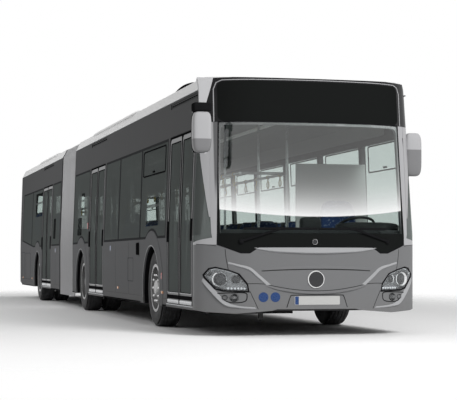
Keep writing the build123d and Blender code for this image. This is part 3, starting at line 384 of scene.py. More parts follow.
# ---------------------------------------------------------------- finishes
class Finish:
    """One procedural material: a Principled shader with helpers that add nodes and link them."""

    def __init__(self, name, colour, rough=0.5, metal=0.0, **sockets):
        self.material = bpy.data.materials.new(name)
        self.material.use_nodes = True
        self.tree = self.material.node_tree
        self.shader = self.tree.nodes["Principled BSDF"]
        self.set("Base Color", (*colour[:3], 1.0))
        self.set("Roughness", rough)
        self.set("Metallic", metal)
        for socket, value in sockets.items():
            self.set(socket.replace("_", " "), value)
        self.coordinates = self.node("ShaderNodeTexCoord").outputs["Object"]

    def set(self, socket, value):
        self.shader.inputs[socket].default_value = value

    def node(self, kind, **values):
        made = self.tree.nodes.new(kind)
        for key, value in values.items():
            if key in made.inputs:
                made.inputs[key].default_value = value
            else:
                setattr(made, key, value)
        return made

    def pattern(self, kind, **values):
        """A texture node that reads the object's coordinates."""
        made = self.node(kind, **values)
        self.link(self.coordinates, made.inputs["Vector"])
        return made

    def link(self, source, target):
        self.tree.links.new(source, target)

    def feed(self, target, value):
        """Links a socket or sets a plain value."""
        if isinstance(value, (int, float, tuple)):
            target.default_value = value
        else:
            self.link(value, target)

    def math(self, operation, a, b=0.0, c=0.0):
        made = self.node("ShaderNodeMath", operation=operation)
        for socket, value in zip(made.inputs, (a, b, c)):
            self.feed(socket, value)
        return made.outputs[0]

    def times(self, a, b):
        return self.math("MULTIPLY", a, b)

    def plus(self, a, b):
        return self.math("ADD", a, b)

    def minus(self, a, b):
        return self.math("SUBTRACT", a, b)

    def most(self, values):
        """The largest of some values."""
        return reduce(lambda a, b: self.math("MAXIMUM", a, b), values)

    def size_of(self, a):
        return self.math("ABSOLUTE", a)

    def under(self, a, b):
        return self.math("LESS_THAN", a, b)

    def over(self, a, b):
        return self.math("GREATER_THAN", a, b)

    def between(self, value, low, high):
        """1 from low to high, and 0 elsewhere."""
        return self.math("COMPARE", value, (low + high) / 2, (high - low) / 2)

    def axes(self):
        """X, Y and Z of the object's coordinates."""
        made = self.node("ShaderNodeSeparateXYZ")
        self.link(self.coordinates, made.inputs[0])
        return made.outputs

    def ramp(self, factor, low, high, a=0.0, b=1.0):
        """Smooth step: a below low, b above high."""
        made = self.node("ShaderNodeMapRange", interpolation_type="SMOOTHSTEP")
        for key, value in (("Value", factor), ("From Min", low), ("From Max", high), ("To Min", a),
                           ("To Max", b)):
            self.feed(made.inputs[key], value)
        return made.outputs[0]

    def noise(self, scale, detail=3.0, stretch=None):
        made = self.node("ShaderNodeTexNoise", Scale=scale, Detail=detail)
        source = self.coordinates
        if stretch:
            source = self.pattern("ShaderNodeMapping", Scale=stretch).outputs[0]
        self.link(source, made.inputs["Vector"])
        return made.outputs["Fac"]

    def threads(self, scale, ripple, warp, weft):
        """Woven threads: two crossed wave patterns, multiplied."""
        return self.times(*(self.pattern("ShaderNodeTexWave", Scale=scale, Distortion=ripple,
                                         bands_direction=way).outputs["Fac"] for way in (warp, weft)))

    def mix(self, factor, a, b):
        """Colour a where the factor is 0 and b where it is 1."""
        made = self.node("ShaderNodeMix", data_type="RGBA")
        for key, value in (("Factor", factor), ("A", a), ("B", b)):
            self.feed(made.inputs[key], value)
        return made.outputs["Result"]

    def blend(self, factor, a, b):
        """Shader a where the factor is 0 and b where it is 1, as the material's surface."""
        made = self.node("ShaderNodeMixShader")
        for socket, source in zip(made.inputs, (factor, a.outputs[0], b.outputs[0])):
            self.link(source, socket)
        self.link(made.outputs[0], self.tree.nodes["Material Output"].inputs["Surface"])
        return made

    def flecked(self, colour, spread, scale=2600.0, detail=0.0):
        """The colour, varied by noise from a share darker to a share lighter."""
        return self.mix(self.noise(scale, detail), full(colour, 1 - spread), full(colour, 1 + spread))

    def colour(self, source):
        self.link(source, self.shader.inputs["Base Color"])

    def rough(self, source):
        self.link(source, self.shader.inputs["Roughness"])

    def bump(self, height, strength=0.2, distance=0.002):
        """Adds a bump, on top of one that is already there."""
        made = self.node("ShaderNodeBump", Strength=strength, Distance=distance)
        self.feed(made.inputs["Height"], height)
        normal = self.shader.inputs["Normal"]
        if normal.is_linked:
            self.link(normal.links[0].from_socket, made.inputs["Normal"])
        self.link(made.outputs[0], normal)

    def orange_peel(self):
        """The faint ripple of sprayed paint."""
        self.bump(self.noise(240.0, 1.0), 0.03, 0.0008)


def full(colour, by=1.0):
    """Colour with alpha 1, brightened or darkened."""
    return (*(min(1.0, channel * by) for channel in colour[:3]), 1.0)


def grained(name, colour, rough=0.5, metal=0.0, scale=300.0, bump=0.15, spread=0.08, **sockets):
    """Moulded or cast finish: fine grain in the bump and a little in the colour and roughness."""
    finish = Finish(name, colour, rough, metal, **sockets)
    finish.colour(finish.flecked(colour, spread, scale / 20, 3.0))
    grain = finish.noise(scale, 2.0)
    finish.bump(grain, bump, 0.0008)
    finish.rough(finish.ramp(grain, 0.3, 0.7, max(0.02, rough - 0.06), min(1.0, rough + 0.06)))
    return finish


def wheel_zone(finish, radius, soft=0.004):
    """1 inside a radius of any axle's centre in side view: the largest of three distance steps."""
    _, y, z = finish.axes()
    zones = []
    for station in AXLES.values():
        along = finish.minus(y, station + FRONT_Y)
        up = finish.minus(z, WHEEL_Z)
        distance = finish.math("SQRT", finish.plus(finish.times(along, along), finish.times(up, up)))
        zones.append(finish.ramp(distance, radius - soft, radius + soft, 1.0, 0.0))
    return finish.most(zones)


def body_paint(look):
    """Two-tone paint: light below the waistline and on the wheel arches, darker round the windows,
    and black on the low faces inside the outer skin.

    The split follows the waistline, which rises behind its station, and a fine flake noise and an
    orange-peel bump lie over both; road film lightens and roughens the lowest part."""
    finish = Finish("body_paint", look.lower_paint, 0.5, 0.0, Specular_IOR_Level=look.paint_shine)
    x, y, z = finish.axes()
    behind = finish.most((finish.minus(y, RISE_S + FRONT_Y), 0.0))
    height = finish.minus(z, finish.times(behind, RISE / (TAIL_S - RISE_S)))
    band = finish.times(finish.ramp(height, 1.0935, 1.0965),
                        finish.minus(1.0, wheel_zone(finish, ARCH_RADIUS)))
    door_y = DOORS[0][1] + FRONT_Y
    band = finish.times(band, finish.ramp(y, door_y - 0.001, door_y + 0.001))
    paint = finish.mix(band, finish.flecked(look.lower_paint, 0.07),
                       finish.flecked(look.band_paint, 0.05))
    film = finish.times(finish.ramp(z, 0.28, 0.62, 1.0, 0.0), finish.noise(9.0, 5.0))
    paint = finish.mix(finish.times(film, 0.28), paint, full(look.road_film))
    within = finish.times(finish.under(finish.size_of(x), 1.262),
                          finish.times(finish.under(z, 1.095),
                                       finish.between(y, 0.6 + FRONT_Y, 17.2 + FRONT_Y)))
    finish.colour(finish.mix(within, paint, full(look.trim)))
    finish.rough(finish.plus(finish.ramp(film, 0.0, 1.0, 0.0, 0.25),
                             finish.ramp(band, 0.0, 1.0, look.paint_gloss, look.paint_gloss - 0.12)))
    finish.orange_peel()
    return finish


def front_paint(look):
    """Front panel paint: the lower colour with fine flakes, and road film low down."""
    finish = Finish("front_paint", look.lower_paint, 0.5, 0.1, Specular_IOR_Level=0.2)
    film = finish.times(finish.ramp(finish.axes()[2], 0.24, 0.55, 1.0, 0.0), finish.noise(9.0, 5.0))
    finish.colour(finish.mix(finish.times(film, 0.25), finish.flecked(look.lower_paint, 0.07),
                             full(look.road_film)))
    finish.rough(finish.ramp(film, 0.0, 1.0, look.paint_gloss, look.paint_gloss + 0.25))
    finish.orange_peel()
    return finish


def roof_paint(look):
    """Light roof paint with streaks of grime that run outwards; grey on the roof units, over 3 m."""
    finish = Finish("roof_paint", look.roof_paint, 0.5)
    grime = finish.ramp(finish.noise(2.2, 5.0, (0.5, 3.0, 1.0)), 0.45, 0.8)
    z = finish.axes()[2]
    grime = finish.times(grime, finish.ramp(z, 2.90, 2.96, 0.1, 0.45))
    paint = finish.mix(grime, full(look.roof_paint), full(look.roof_paint, 0.62))
    finish.colour(finish.mix(finish.ramp(z, 2.998, 3.006), paint, full(look.roof_paint, 0.5)))
    finish.bump(finish.noise(200.0, 1.0), 0.04, 0.0008)
    return finish


def pillar_paint(look):
    """Windscreen frame: silver pillars, black round the sign, light on top.

    By the glass the pillars carry a painted reflection: grey on the door side, and lighter towards the
    driver's side."""
    finish = Finish("pillar_paint", look.pillar_paint, 0.3, 0.3, Specular_IOR_Level=0.15)
    x, y, z = finish.axes()
    sign = finish.ramp(z, 2.334, 2.338)
    top = finish.times(finish.ramp(z, 2.822, 2.826), finish.ramp(y, 0.26 + FRONT_Y, 0.27 + FRONT_Y))
    inner = finish.times(finish.ramp(finish.size_of(x), 1.080, 1.094, 1.0, 0.0),
                         finish.ramp(z, 1.45, 1.75))
    # painted reflection of the windscreen's edge on the pillars: grey on the door side, lighter to the
    # driver's side
    painted_glass_reflection = finish.mix(finish.ramp(x, -1.0, 1.0), full(look.pillar_paint, 0.33),
                          full(look.pillar_paint))
    paint = finish.mix(inner, finish.flecked(look.pillar_paint, 0.06), painted_glass_reflection)
    paint = finish.mix(sign, paint, full(look.trim))
    finish.colour(finish.mix(top, paint, full(look.roof_paint)))
    finish.link(finish.ramp(sign, 0.0, 1.0, 0.3, 0.0), finish.shader.inputs["Metallic"])
    finish.orange_peel()
    return finish


def plain_paint(name, colour, rough, metal=0.3):
    """Gloss paint with fine flakes and an orange-peel bump."""
    finish = Finish(name, colour, rough, metal, Specular_IOR_Level=0.1)
    finish.colour(finish.flecked(colour, 0.06))
    finish.orange_peel()
    return finish


def glazing(name, tint, share=0.3, dark=0.06, rough=0.04):
    """Tinted window: a see-through shader and a dark gloss one, mixed by a plain share.

    Back faces let all light by, so a pane dims the view once."""
    finish = Finish(name, full(tint, dark), rough, Specular_IOR_Level=0.0)
    finish.rough(finish.ramp(finish.noise(3.0, 2.0), 0.2, 0.8, rough, rough + 0.04))
    through = finish.node("ShaderNodeBsdfTransparent")
    finish.front = finish.minus(1.0, finish.node("ShaderNodeNewGeometry").outputs["Backfacing"])
    finish.link(finish.mix(finish.front, (1.0, 1.0, 1.0, 1.0), full(tint)), through.inputs["Color"])
    finish.share = finish.times(finish.front, share)
    finish.mixer = finish.blend(finish.share, through, finish.shader)
    return finish


def screen_glass(look):
    """Windscreen: black behind the sign and in a border, and a painted reflection that fades upwards.

    The reflection's share is its strength times (1 - height above its lower edge in metres) to the fifth
    power, plus a tenth; that edge rises with the square of x."""
    finish = glazing("windscreen_glass", look.screen_tint, 0.12, 0.014)
    x, _, z = finish.axes()
    dark = finish.most((finish.ramp(z, 2.338, 2.344), finish.ramp(z, 1.118, 1.126, 1.0, 0.0),
                        finish.ramp(finish.size_of(x), 1.043, 1.048)))
    finish.link(finish.most((finish.share, dark)), finish.mixer.inputs[0])
    above = finish.minus(z, finish.plus(1.305, finish.times(finish.times(x, x), 0.07)))
    fall = finish.math("MINIMUM", finish.most((finish.minus(1.0, above), 0.0)), 1.0)
    # painted reflection: a mirror share set by height, strongest at the screen's foot
    painted_reflection = finish.plus(finish.times(finish.math("POWER", fall, 5.0), look.screen_painted_reflection), 0.10)
    painted_reflection = finish.times(finish.times(painted_reflection, finish.ramp(above, -0.006, 0.006)), finish.minus(1.0, dark))
    mirror = finish.node("ShaderNodeBsdfGlossy", Roughness=0.04, Color=(0.96, 0.96, 0.96, 1.0))
    finish.blend(finish.times(painted_reflection, finish.front), finish.mixer, mirror)
    return finish


# clear stretches of the door side's film: first and last station, foot and top
CLEAR_GLASS = ((2.42, 3.22, 1.26, 1.49), (2.42, 3.22, 1.53, 1.615), (8.50, 8.80, 1.57, 1.79),
               (8.50, 8.80, 1.82, 1.93), (14.0, 15.2, 1.72, 1.98), (14.0, 15.2, 2.02, 2.20))


def side_glass(look):
    """Side windows: a dark film on their outer faces, but for six stretches, and clear inner faces.

    The six stretches are on the door side: over the front wheel's arch, beside the second door and by
    the third."""
    finish = glazing("side_glass", look.glass_tint, 0.3, 0.19)
    x, y, z = finish.axes()
    normal = finish.node("ShaderNodeSeparateXYZ")
    finish.link(finish.node("ShaderNodeTexCoord").outputs["Normal"], normal.inputs[0])
    outer = finish.over(finish.times(normal.outputs[0], x), 0.2)
    clear = finish.most([finish.times(finish.between(y, s0 + FRONT_Y, s1 + FRONT_Y),
                                      finish.between(z, z0, z1)) for s0, s1, z0, z1 in CLEAR_GLASS])
    clear = finish.times(clear, finish.under(x, 0.0))
    film = finish.times(outer, finish.minus(1.0, clear))
    share = finish.ramp(film, 0.0, 1.0, 0.12, look.glass_dark)
    finish.link(finish.times(finish.front, share), finish.mixer.inputs[0])
    return finish


def glow(name, colour, strength):
    """Lit plastic, such as a lamp strip behind a diffuser."""
    finish = grained(name, colour, 0.4, scale=160.0, bump=0.05)
    finish.set("Emission Color", full(colour))
    finish.set("Emission Strength", strength)
    return finish


def woven(name, colour, accent):
    """Woven plush: crossed threads, and larger noise scatters a small fleck."""
    finish = Finish(name, colour, 0.88, 0.0, Sheen_Weight=0.35)
    threads = finish.threads(260.0, 0.6, "X", "Z")
    fleck = finish.ramp(finish.noise(38.0, 1.0), 0.60, 0.66)
    base = finish.mix(threads, full(colour, 0.72), full(colour, 1.18))
    finish.colour(finish.mix(finish.times(fleck, 0.7), base, full(accent)))
    finish.bump(threads, 0.35, 0.0006)
    return finish


def bellows_cloth(name, colour):
    """Coated fabric: fine crossed threads and soft stains that run down the folds."""
    finish = Finish(name, colour, 0.72)
    threads = finish.threads(330.0, 0.3, "Y", "Z")
    stain = finish.ramp(finish.noise(3.0, 5.0, (1.0, 2.5, 0.35)), 0.35, 0.75)
    ground = finish.mix(threads, full(colour, 0.9), full(colour, 1.06))
    finish.colour(finish.mix(finish.times(stain, 0.3), ground, full(colour, 0.62)))
    finish.bump(threads, 0.2, 0.0005)
    return finish


def speckled(name, colour, accent, under):
    """Vinyl floor: sparse light chips on a plain ground, and dark underneath."""
    finish = Finish(name, colour, 0.55)
    chips = finish.pattern("ShaderNodeTexVoronoi", Scale=170.0).outputs["Distance"]
    top = finish.mix(finish.ramp(chips, 0.12, 0.2, 0.8, 0.0), full(colour), full(accent))
    finish.floor = finish.mix(finish.ramp(finish.axes()[2], 0.296, 0.300), full(under), top)
    finish.colour(finish.floor)
    finish.bump(finish.noise(420.0, 1.0), 0.12, 0.0005)
    return finish


def wheel_boxes(look):
    """Wheel boxes: cabin vinyl outside, and dark inside, where a point lies within 0.575 m of the axle
    along the bus, under 1.035 m and beyond the boxes' inner wall."""
    finish = speckled("wheel_box", look.floor_vinyl, CHIPS, look.trim)
    x, y, z = finish.axes()
    inside = finish.most([
        finish.times(finish.under(finish.size_of(finish.minus(y, station + FRONT_Y)), 0.575),
                     finish.over(finish.size_of(x), 0.495 if axle == "front" else 0.555))
        for axle, station in AXLES.items()])
    inside = finish.times(inside, finish.under(z, 1.035))
    finish.colour(finish.mix(inside, finish.floor, full(look.trim)))
    return finish


def zoned(name, low, high, split):
    """Moulded plastic in two shades that meet at a height.

    On the cab the upper shade is painted light, and on the mirror heads the lower shade is painted
    shade.
    """
    finish = Finish(name, low, 0.5)
    upper = finish.ramp(finish.axes()[2], split - 0.002, split + 0.002)
    finish.colour(finish.mix(upper, full(low), full(high)))
    finish.bump(finish.noise(420.0, 2.0), 0.2, 0.0006)
    return finish


def brushed(name, colour, rough=0.3, stretch=(1.0, 1.0, 30.0)):
    """Brushed or drawn metal: noise stretched along the grain."""
    finish = Finish(name, colour, rough, 1.0)
    grain = finish.noise(60.0, 3.0, stretch)
    finish.colour(finish.mix(grain, full(colour, 0.86), full(colour, 1.1)))
    finish.rough(finish.ramp(grain, 0.25, 0.75, rough - 0.08, rough + 0.1))
    finish.bump(grain, 0.06, 0.0005)
    return finish


def fluted(name, colour):
    """Lamp reflector: upright flutes and small facets in the bump of a bright metal."""
    finish = Finish(name, colour, 0.16, 1.0)
    flutes = finish.pattern("ShaderNodeTexWave", Scale=38.0, Distortion=0.0, bands_direction="X")
    cells = finish.pattern("ShaderNodeTexVoronoi", Scale=70.0).outputs["Distance"]
    finish.colour(finish.mix(cells, full(colour, 1.15), full(colour, 0.45)))
    finish.bump(flutes.outputs["Fac"], 0.5, 0.003)
    finish.bump(cells, 0.6, 0.004)
    return finish


def tyre_rubber(name, colour):
    """Tyre: dusty noise lightens it unevenly, and a fine grain breaks the gloss."""
    finish = Finish(name, colour, 0.78)
    dust = finish.ramp(finish.noise(14.0, 4.0), 0.4, 0.75)
    finish.colour(finish.mix(dust, full(colour), full(colour, 2.2)))
    finish.bump(finish.noise(500.0, 2.0), 0.2, 0.0008)
    return finish


# ---------------------------------------------------------------- what a user may change
def shade(name, default, description):
    return bpy.props.FloatVectorProperty(name=name, default=default, subtype="COLOR", size=3, min=0.0,
                                         max=1.0, description=description)


def length(name, default, description):
    return bpy.props.FloatProperty(name=name, default=default, unit="LENGTH", min=0.0,
                                   description=description)


def share_of(name, default, description, low=0.0, high=1.0):
    return bpy.props.FloatProperty(name=name, default=default, min=low, max=high, subtype="FACTOR",
                                   description=description)


def power(name, default, description):
    return bpy.props.FloatProperty(name=name, default=default, min=0.0, subtype="POWER",
                                   description=description)


class BusLook(bpy.types.PropertyGroup):
    lower_paint: shade("Lower Paint", (0.172, 0.174, 0.178), "Body colour below the windows")
    band_paint: shade("Window Band", (0.132, 0.133, 0.135), "Body colour round the side windows")
    roof_paint: shade("Roof", (0.80, 0.80, 0.80), "Roof skin and covers")
    pillar_paint: shade("Front Pillars", (0.42, 0.42, 0.43), "Frame round the windscreen")
    door_paint: shade("Door Frames", (0.17, 0.172, 0.176), "Frames of the door leaves")
    road_film: shade("Road Film", (0.20, 0.19, 0.18), "Dust low on the body")
    trim: shade("Black Trim", (0.012, 0.012, 0.013), "Gaskets, grilles and lamp bezels")
    glass_tint: shade("Glass Tint", (0.66, 0.72, 0.70), "Colour of light through the windows")
    screen_tint: shade("Windscreen Tint", (0.80, 0.86, 0.84), "Colour of light through the windscreen")
    bellows_grey: shade("Bellows", (0.64, 0.64, 0.65), "Coated fabric of the bellows")
    seat_cloth: shade("Seat Cloth", (0.035, 0.07, 0.20), "Ground colour of the seats")
    seat_fleck: shade("Seat Fleck", (0.30, 0.36, 0.46), "Fleck in the seats")
    floor_vinyl: shade("Floor", (0.10, 0.11, 0.12), "Cabin floor")
    rail_colour: shade("Handrails", (0.50, 0.51, 0.52), "Handrail tubes")
    disc_blue: shade("Blank Discs", (0.006, 0.038, 0.145), "Blank round stickers")
    wheel_metal: shade("Wheels", (0.38, 0.38, 0.38), "Wheel discs and rims")
    paint_shine: share_of("Paint Shine", 0.0, "Strength of the paint's reflections")
    paint_gloss: share_of("Paint Roughness", 0.46, "Roughness of the lower paint", 0.1, 0.9)
    glass_dark: share_of("Glass Darkness", 0.80, "Share of dark film in the side windows")
    # share of the windscreen's painted reflection at the foot of the screen
    screen_painted_reflection: share_of("Windscreen Coating", 0.85, "Mirror share at the foot of the screen")


class BusSizes(bpy.types.PropertyGroup):
    gasket: length("Window Gasket", 0.030, "Width of the dark border round each pane")
    tread_depth: length("Tread Depth", 0.011, "Depth of the tyre grooves")
    fold_depth: length("Fold Depth", 0.030, "Depth of the bellows folds")
    fold_count: bpy.props.IntProperty(name="Fold Count", default=24, min=6, max=40,
                                      description="Folds along the bellows")


class StageLook(bpy.types.PropertyGroup):
    floor_tone: shade("Floor Colour", (0.96, 0.96, 0.96), "Studio floor")
    key: power("Key Light", 2650.0, "Power of the light ahead of the bus")
    top: power("Top Light", 320.0, "Power of the light overhead")
    ambient: bpy.props.FloatProperty(name="Surrounding Light", default=0.22, min=0.0,
                                     description="Strength of the plain light from all round")


CHIPS = (0.30, 0.32, 0.34)
EVEN = (1.0, 1.0, 1.0)
MATT = {"Specular_IOR_Level": 0.0}
# finish: its maker and, unless that takes the whole look, the material's name and the maker's values.
# A text names a colour of the look, and a pair of a text and a number that colour times the number.
FINISHES = {
    "body": (body_paint,),
    "front_paint": (front_paint,),
    "pillar": (pillar_paint,),
    "roof": (roof_paint,),
    "glass": (side_glass,),
    "screen": (screen_glass,),
    "box": (wheel_boxes,),
    # fold: the lower paint 2.1 times lighter, a painted highlight on the front's folds and the arch lips
    "fold": (plain_paint, "fold_paint", ("lower_paint", 2.1), 0.42, 0.1),
    "silver": (plain_paint, "silver_paint", "pillar_paint", 0.3, 0.5),
    "door_paint": (plain_paint, "door_paint", "door_paint", 0.38),
    "tyre": (tyre_rubber, "tyre_rubber", (0.020, 0.020, 0.021)),
    "wheel": (brushed, "wheel_alloy", "wheel_metal", 0.34, EVEN),
    "steel": (brushed, "brushed_steel", "rail_colour", 0.28),
    "chrome": (brushed, "chrome", (0.80, 0.80, 0.80), 0.09, EVEN),
    "mirror": (brushed, "mirror_glass", (0.75, 0.76, 0.78), 0.10, EVEN),
    "reflector": (fluted, "lamp_reflector", (0.27, 0.275, 0.28)),
    "floor": (speckled, "floor_vinyl", "floor_vinyl", CHIPS, "trim"),
    # cab: dark below 1.19 m; the near white above is painted light, standing for light on the partition
    # behind the windscreen
    "cab": (zoned, "cab_panels", (0.030, 0.031, 0.033), (0.85, 0.85, 0.84), 1.19),
    # mirror_shell: dark grey below 2.10 m, a painted shade on the heads' lower part; silver above
    "mirror_shell": (zoned, "mirror_paint", (0.20, 0.20, 0.205), "pillar_paint", 2.10),
    "cloth": (woven, "seat_cloth", "seat_cloth", "seat_fleck"),
    "bellows": (bellows_cloth, "bellows_cloth", "bellows_grey"),
    "clear": (glazing, "lamp_clear", (0.95, 0.97, 0.98), 0.07, 1.0),
    "light": (glow, "light_strip", (0.75, 0.74, 0.72), 0.05),
    "trim": (grained, "black_trim", "trim", 0.5, 0.0, 260.0, 0.12, 0.2, MATT),
    "gloss_black": (grained, "pane_border", (0.050, 0.051, 0.053), 0.3, 0.0, 9.0, 0.01, 0.1, MATT),
    "seam": (grained, "seam_rubber", (0.006, 0.006, 0.006), 0.7),
    "badge": (grained, "dark_badge", (0.016, 0.017, 0.019), 0.12, 0.0, 30.0, 0.01),
    "chassis": (grained, "chassis_paint", (0.020, 0.020, 0.021), 0.6, 0.2, 90.0, 0.3, 0.3),
    "lining": (grained, "cabin_lining", (0.26, 0.26, 0.255), 0.55, 0.0, 120.0, 0.05),
    "plastic": (grained, "dark_plastic", (0.030, 0.031, 0.033), 0.5, 0.0, 420.0, 0.3),
    "shell": (grained, "seat_shell", (0.12, 0.125, 0.13), 0.45, 0.0, 300.0, 0.12),
    "disc": (grained, "blue_sticker", "disc_blue", 0.3, 0.0, 60.0, 0.02),
    "plate": (grained, "plate_white", (0.47, 0.47, 0.46), 0.35, 0.0, 80.0, 0.02, 0.03),
    "bellows_rib": (grained, "bellows_rib", ("bellows_grey", 0.8), 0.5, 0.0, 200.0),
    "red_lens": (grained, "red_lens", (0.42, 0.012, 0.010), 0.18, 0.0, 420.0, 0.35),
    "amber_lens": (grained, "amber_lens", (0.52, 0.17, 0.01), 0.18, 0.0, 420.0, 0.35),
    "white_lens": (grained, "white_lens", (0.75, 0.76, 0.78), 0.15, 0.0, 420.0, 0.35),
    "yellow": (grained, "signal_yellow", (0.62, 0.42, 0.02), 0.4, 0.0, 200.0),
}
MADE = {}


def of_look(look, value):
    """The colour that a text names, that colour times a number, or the value itself."""
    if isinstance(value, str):
        return getattr(look, value)
    if isinstance(value, tuple) and isinstance(value[0], str):
        return tuple(channel * value[1] for channel in getattr(look, value[0]))
    return value


def skin(key):
    """The finish of that name, made once from the sidebar's colours."""
    if key not in MADE:
        look = bpy.context.scene.bus_look
        maker, *row = FINISHES[key]
        sockets = row.pop() if row and isinstance(row[-1], dict) else {}
        values = row[:1] + [of_look(look, value) for value in row[1:]]
        MADE[key] = (maker(*values, **sockets) if row else maker(look)).material
    return MADE[key]


# CAD nodes that keep their shape, and their finishes
KEPT = {
    "front_wall_right": "body", "front_wall_left": "body", "rear_wall_right": "body",
    "rear_wall_left": "body", "rear_panel": "body", "front_mask": "front_paint",
    "windscreen_frame": "pillar", "front_roof": "roof", "rear_roof": "roof",
    "windscreen": "screen", "front_side_glass": "glass", "rear_glass": "glass",
    "front_floor": "floor", "rear_floor": "floor", "front_wheel_boxes": "box",
    "rear_wheel_boxes": "box", "cab": "cab", "steering_wheel": "plastic", "engine": "chassis",
    "front_axle": "chassis", "middle_axle": "chassis", "rear_axle": "chassis",
    "knuckle_left": "chassis", "knuckle_right": "chassis", "turntable_base": "chassis",
    "turntable_ring": "floor", "front_handrails": "steel", "rear_handrails": "steel",
    "headlamps": "clear", "tail_lamps": "red_lens", "mirrors": "trim", "wipers": "trim",
    "front_seats": "cloth", "rear_seats": "cloth", "bellows": "bellows",
}


class BUS_OT_dress_frame(bpy.types.Operator):
    """Gives every CAD node that keeps its shape a procedural finish"""
    bl_idname = "bus.dress_frame"
    bl_label = "Dress the Frame"

    def execute(self, context):
        by_part = {"tyre": "tyre", "rim": "wheel", "arm": "chassis", "leaf": "door_paint"}
        for node in NODES:
            words = node.split("_")
            key = KEPT.get(node) or by_part.get(words[0]) or by_part.get(words[-1])
            if not key:
                raise RuntimeError("no finish for " + node)
            slots = NODES[node].data.materials
            slots.clear()
            slots.append(skin(key))
        return {"FINISHED"}


# ---------------------------------------------------------------- doors
LEAF_Z, KICK_TOP = (0.326, 2.262), 0.452
LEAF_THICK, LEAF_EDGE, LEAF_GAP = 0.040, 0.056, 0.005
DOOR_SIDE = side_map(-1)


def leaf_frame(surface, a0, a1):
    """Hollow frame of a leaf: a section of eight points, rounded outside, swept round its rectangle."""
    ring = pane_path(a0 + 0.031, a1 - 0.031, LEAF_Z[0] + 0.031, LEAF_Z[1] - 0.031, 0.030, 0.25, 5)
    across = np.array([-0.031, -0.031, -0.025, 0.018, 0.026, 0.031, 0.031, 0.0])
    out = np.array([-LEAF_THICK, -0.006, -0.0008, -0.0008, -0.004, -0.014, -LEAF_THICK, -LEAF_THICK])
    plane = ring[:, None] - path_normals(ring, True)[:, None] * across[None, :, None]
    surface.grid(lay(DOOR_SIDE, plane, out), close_u=True, close_v=True)


def door_leaf(body, a0, a1, lead, back):
    """One leaf from station a0 to a1; lead is its edge at the doorway's middle, back the other."""
    way = 1 if lead > back else -1
    low, high = LEAF_Z
    frame_part, pane, rubber, light, rail = surfaces(5)
    leaf_frame(frame_part, a0, a1)
    plate(frame_part, DOOR_SIDE, pane_path(a0 + 0.05, a1 - 0.05, 0.372, KICK_TOP, 0.008, 0.1, 3),
          -0.030, -0.004, 0.003)
    glass_path = pane_path(a0 + 0.052, a1 - 0.052, KICK_TOP - 0.006, high - 0.052, 0.03, 0.2, 5)
    plate(pane, DOOR_SIDE, glass_path, -0.012, -0.006, 0.001)
    at, grip = lead - way * 0.004, back + way * 0.030
    bar(rubber, DOOR_SIDE, (at, low + 0.004), (at, high - 0.004), 0.1, 0.014, 0.002 - LEAF_THICK, 0.004)
    seal_path = pane_path(a0 + 0.060, a1 - 0.060, KICK_TOP + 0.004, high - 0.060, 0.026, 0.2, 5)
    strip(rubber, DOOR_SIDE, seal_path, 0.013, -0.010, 0.0012, closed=True)
    bar(rubber, DOOR_SIDE, (a0 + 0.01, 0.404), (a1 - 0.01, 0.404), 0.1, 0.046, -0.002, 0.003)
    strip(rubber, DOOR_SIDE, [(a0 + 0.008, low + 0.007), (a1 - 0.008, low + 0.007)], 0.012, -0.030, 0.0)
    bar(rubber, DOOR_SIDE, (grip, 1.044), (grip, 1.289), 0.05, 0.036, -0.003, 0.014)
    bar(light, DOOR_SIDE, (a0 + 0.01, 0.349), (a1 - 0.01, 0.349), 0.1, 0.040, -0.001, 0.0016)
    bar(light, DOOR_SIDE, (a0 + 0.01, KICK_TOP + 0.001), (a1 - 0.01, KICK_TOP + 0.001), 0.1, 0.006,
        -0.001, 0.0022)
    x = 0.050 - half_at(np.array([0.75, 0.75, 1.35, 1.35])) - (0.030, 0, 0, 0.030)
    for share in (0.26, 0.74):
        y = np.full(4, a0 + (a1 - a0) * share + FRONT_Y)
        tube(rail, smooth_path(np.stack([x, y, [0.72, 0.75, 1.35, 1.38]], -1), 6), 0.011, 8)
    frame_part.build(f"{body}_frame", "door_paint", body, "door", replaces=(body,))
    pane.build(f"{body}_pane", "glass", body, "glass")
    rubber.build(f"{body}_rubber", "trim", body, "black_plastic")
    light.build(f"{body}_kick", "steel", body, "rail")
    rail.build(f"{body}_rail", "steel", body, "rail")


class BUS_OT_doors(bpy.types.Operator):
    """Builds each door leaf: frame, kick panel, glass, rubber edges and grab rails"""
    bl_idname = "bus.doors"
    bl_label = "Door Leaves"

    def execute(self, context):
        for door, d0, d1, _ in DOORS:
            middle = (d0 + d1) / 2
            first, last = d0 + LEAF_EDGE, d1 - LEAF_EDGE
            door_leaf(f"{door}_front_leaf", first, middle - LEAF_GAP, middle - LEAF_GAP, first)
            door_leaf(f"{door}_rear_leaf", middle + LEAF_GAP, last, middle + LEAF_GAP, last)
        return {"FINISHED"}


class BUS_OT_door_surrounds(bpy.types.Operator):
    """Adds the rubbers and posts beside the doors, the sills and the slots above them"""
    bl_idname = "bus.door_surrounds"
    bl_label = "Door Surrounds"

    def execute(self, context):
        for door, d0, d1, car in DOORS:
            dark, slots, sill = surfaces(3)
            for jamb in (d0 + 0.050, d1 - 0.050):
                bar(dark, DOOR_SIDE, (jamb, 0.31), (jamb, 2.28), 0.1, 0.009, -0.012, 0.002)
            bar(dark, DOOR_SIDE, (d0 + 0.045, 2.274), (d1 - 0.045, 2.274), 0.1, 0.014, -0.02, 0.002)
            for at in np.linspace(d0 + 0.10, d1 - 0.10, 12):
                strip(slots, DOOR_SIDE, [(at - 0.03, 2.651), (at + 0.03, 2.651)], 0.012, -0.011, -0.004)
            bar(sill, DOOR_SIDE, (d0 + 0.01, 0.3135), (d1 - 0.01, 0.3135), 0.2, 0.014, -0.055, 0.003)
            dark.build(f"{door}_rubbers", "trim", car, "black_plastic")
            slots.build(f"{door}_drip_slot", "trim", car, "black_plastic")
            sill.build(f"{door}_sill", "steel", car, "rail")
        return {"FINISHED"}


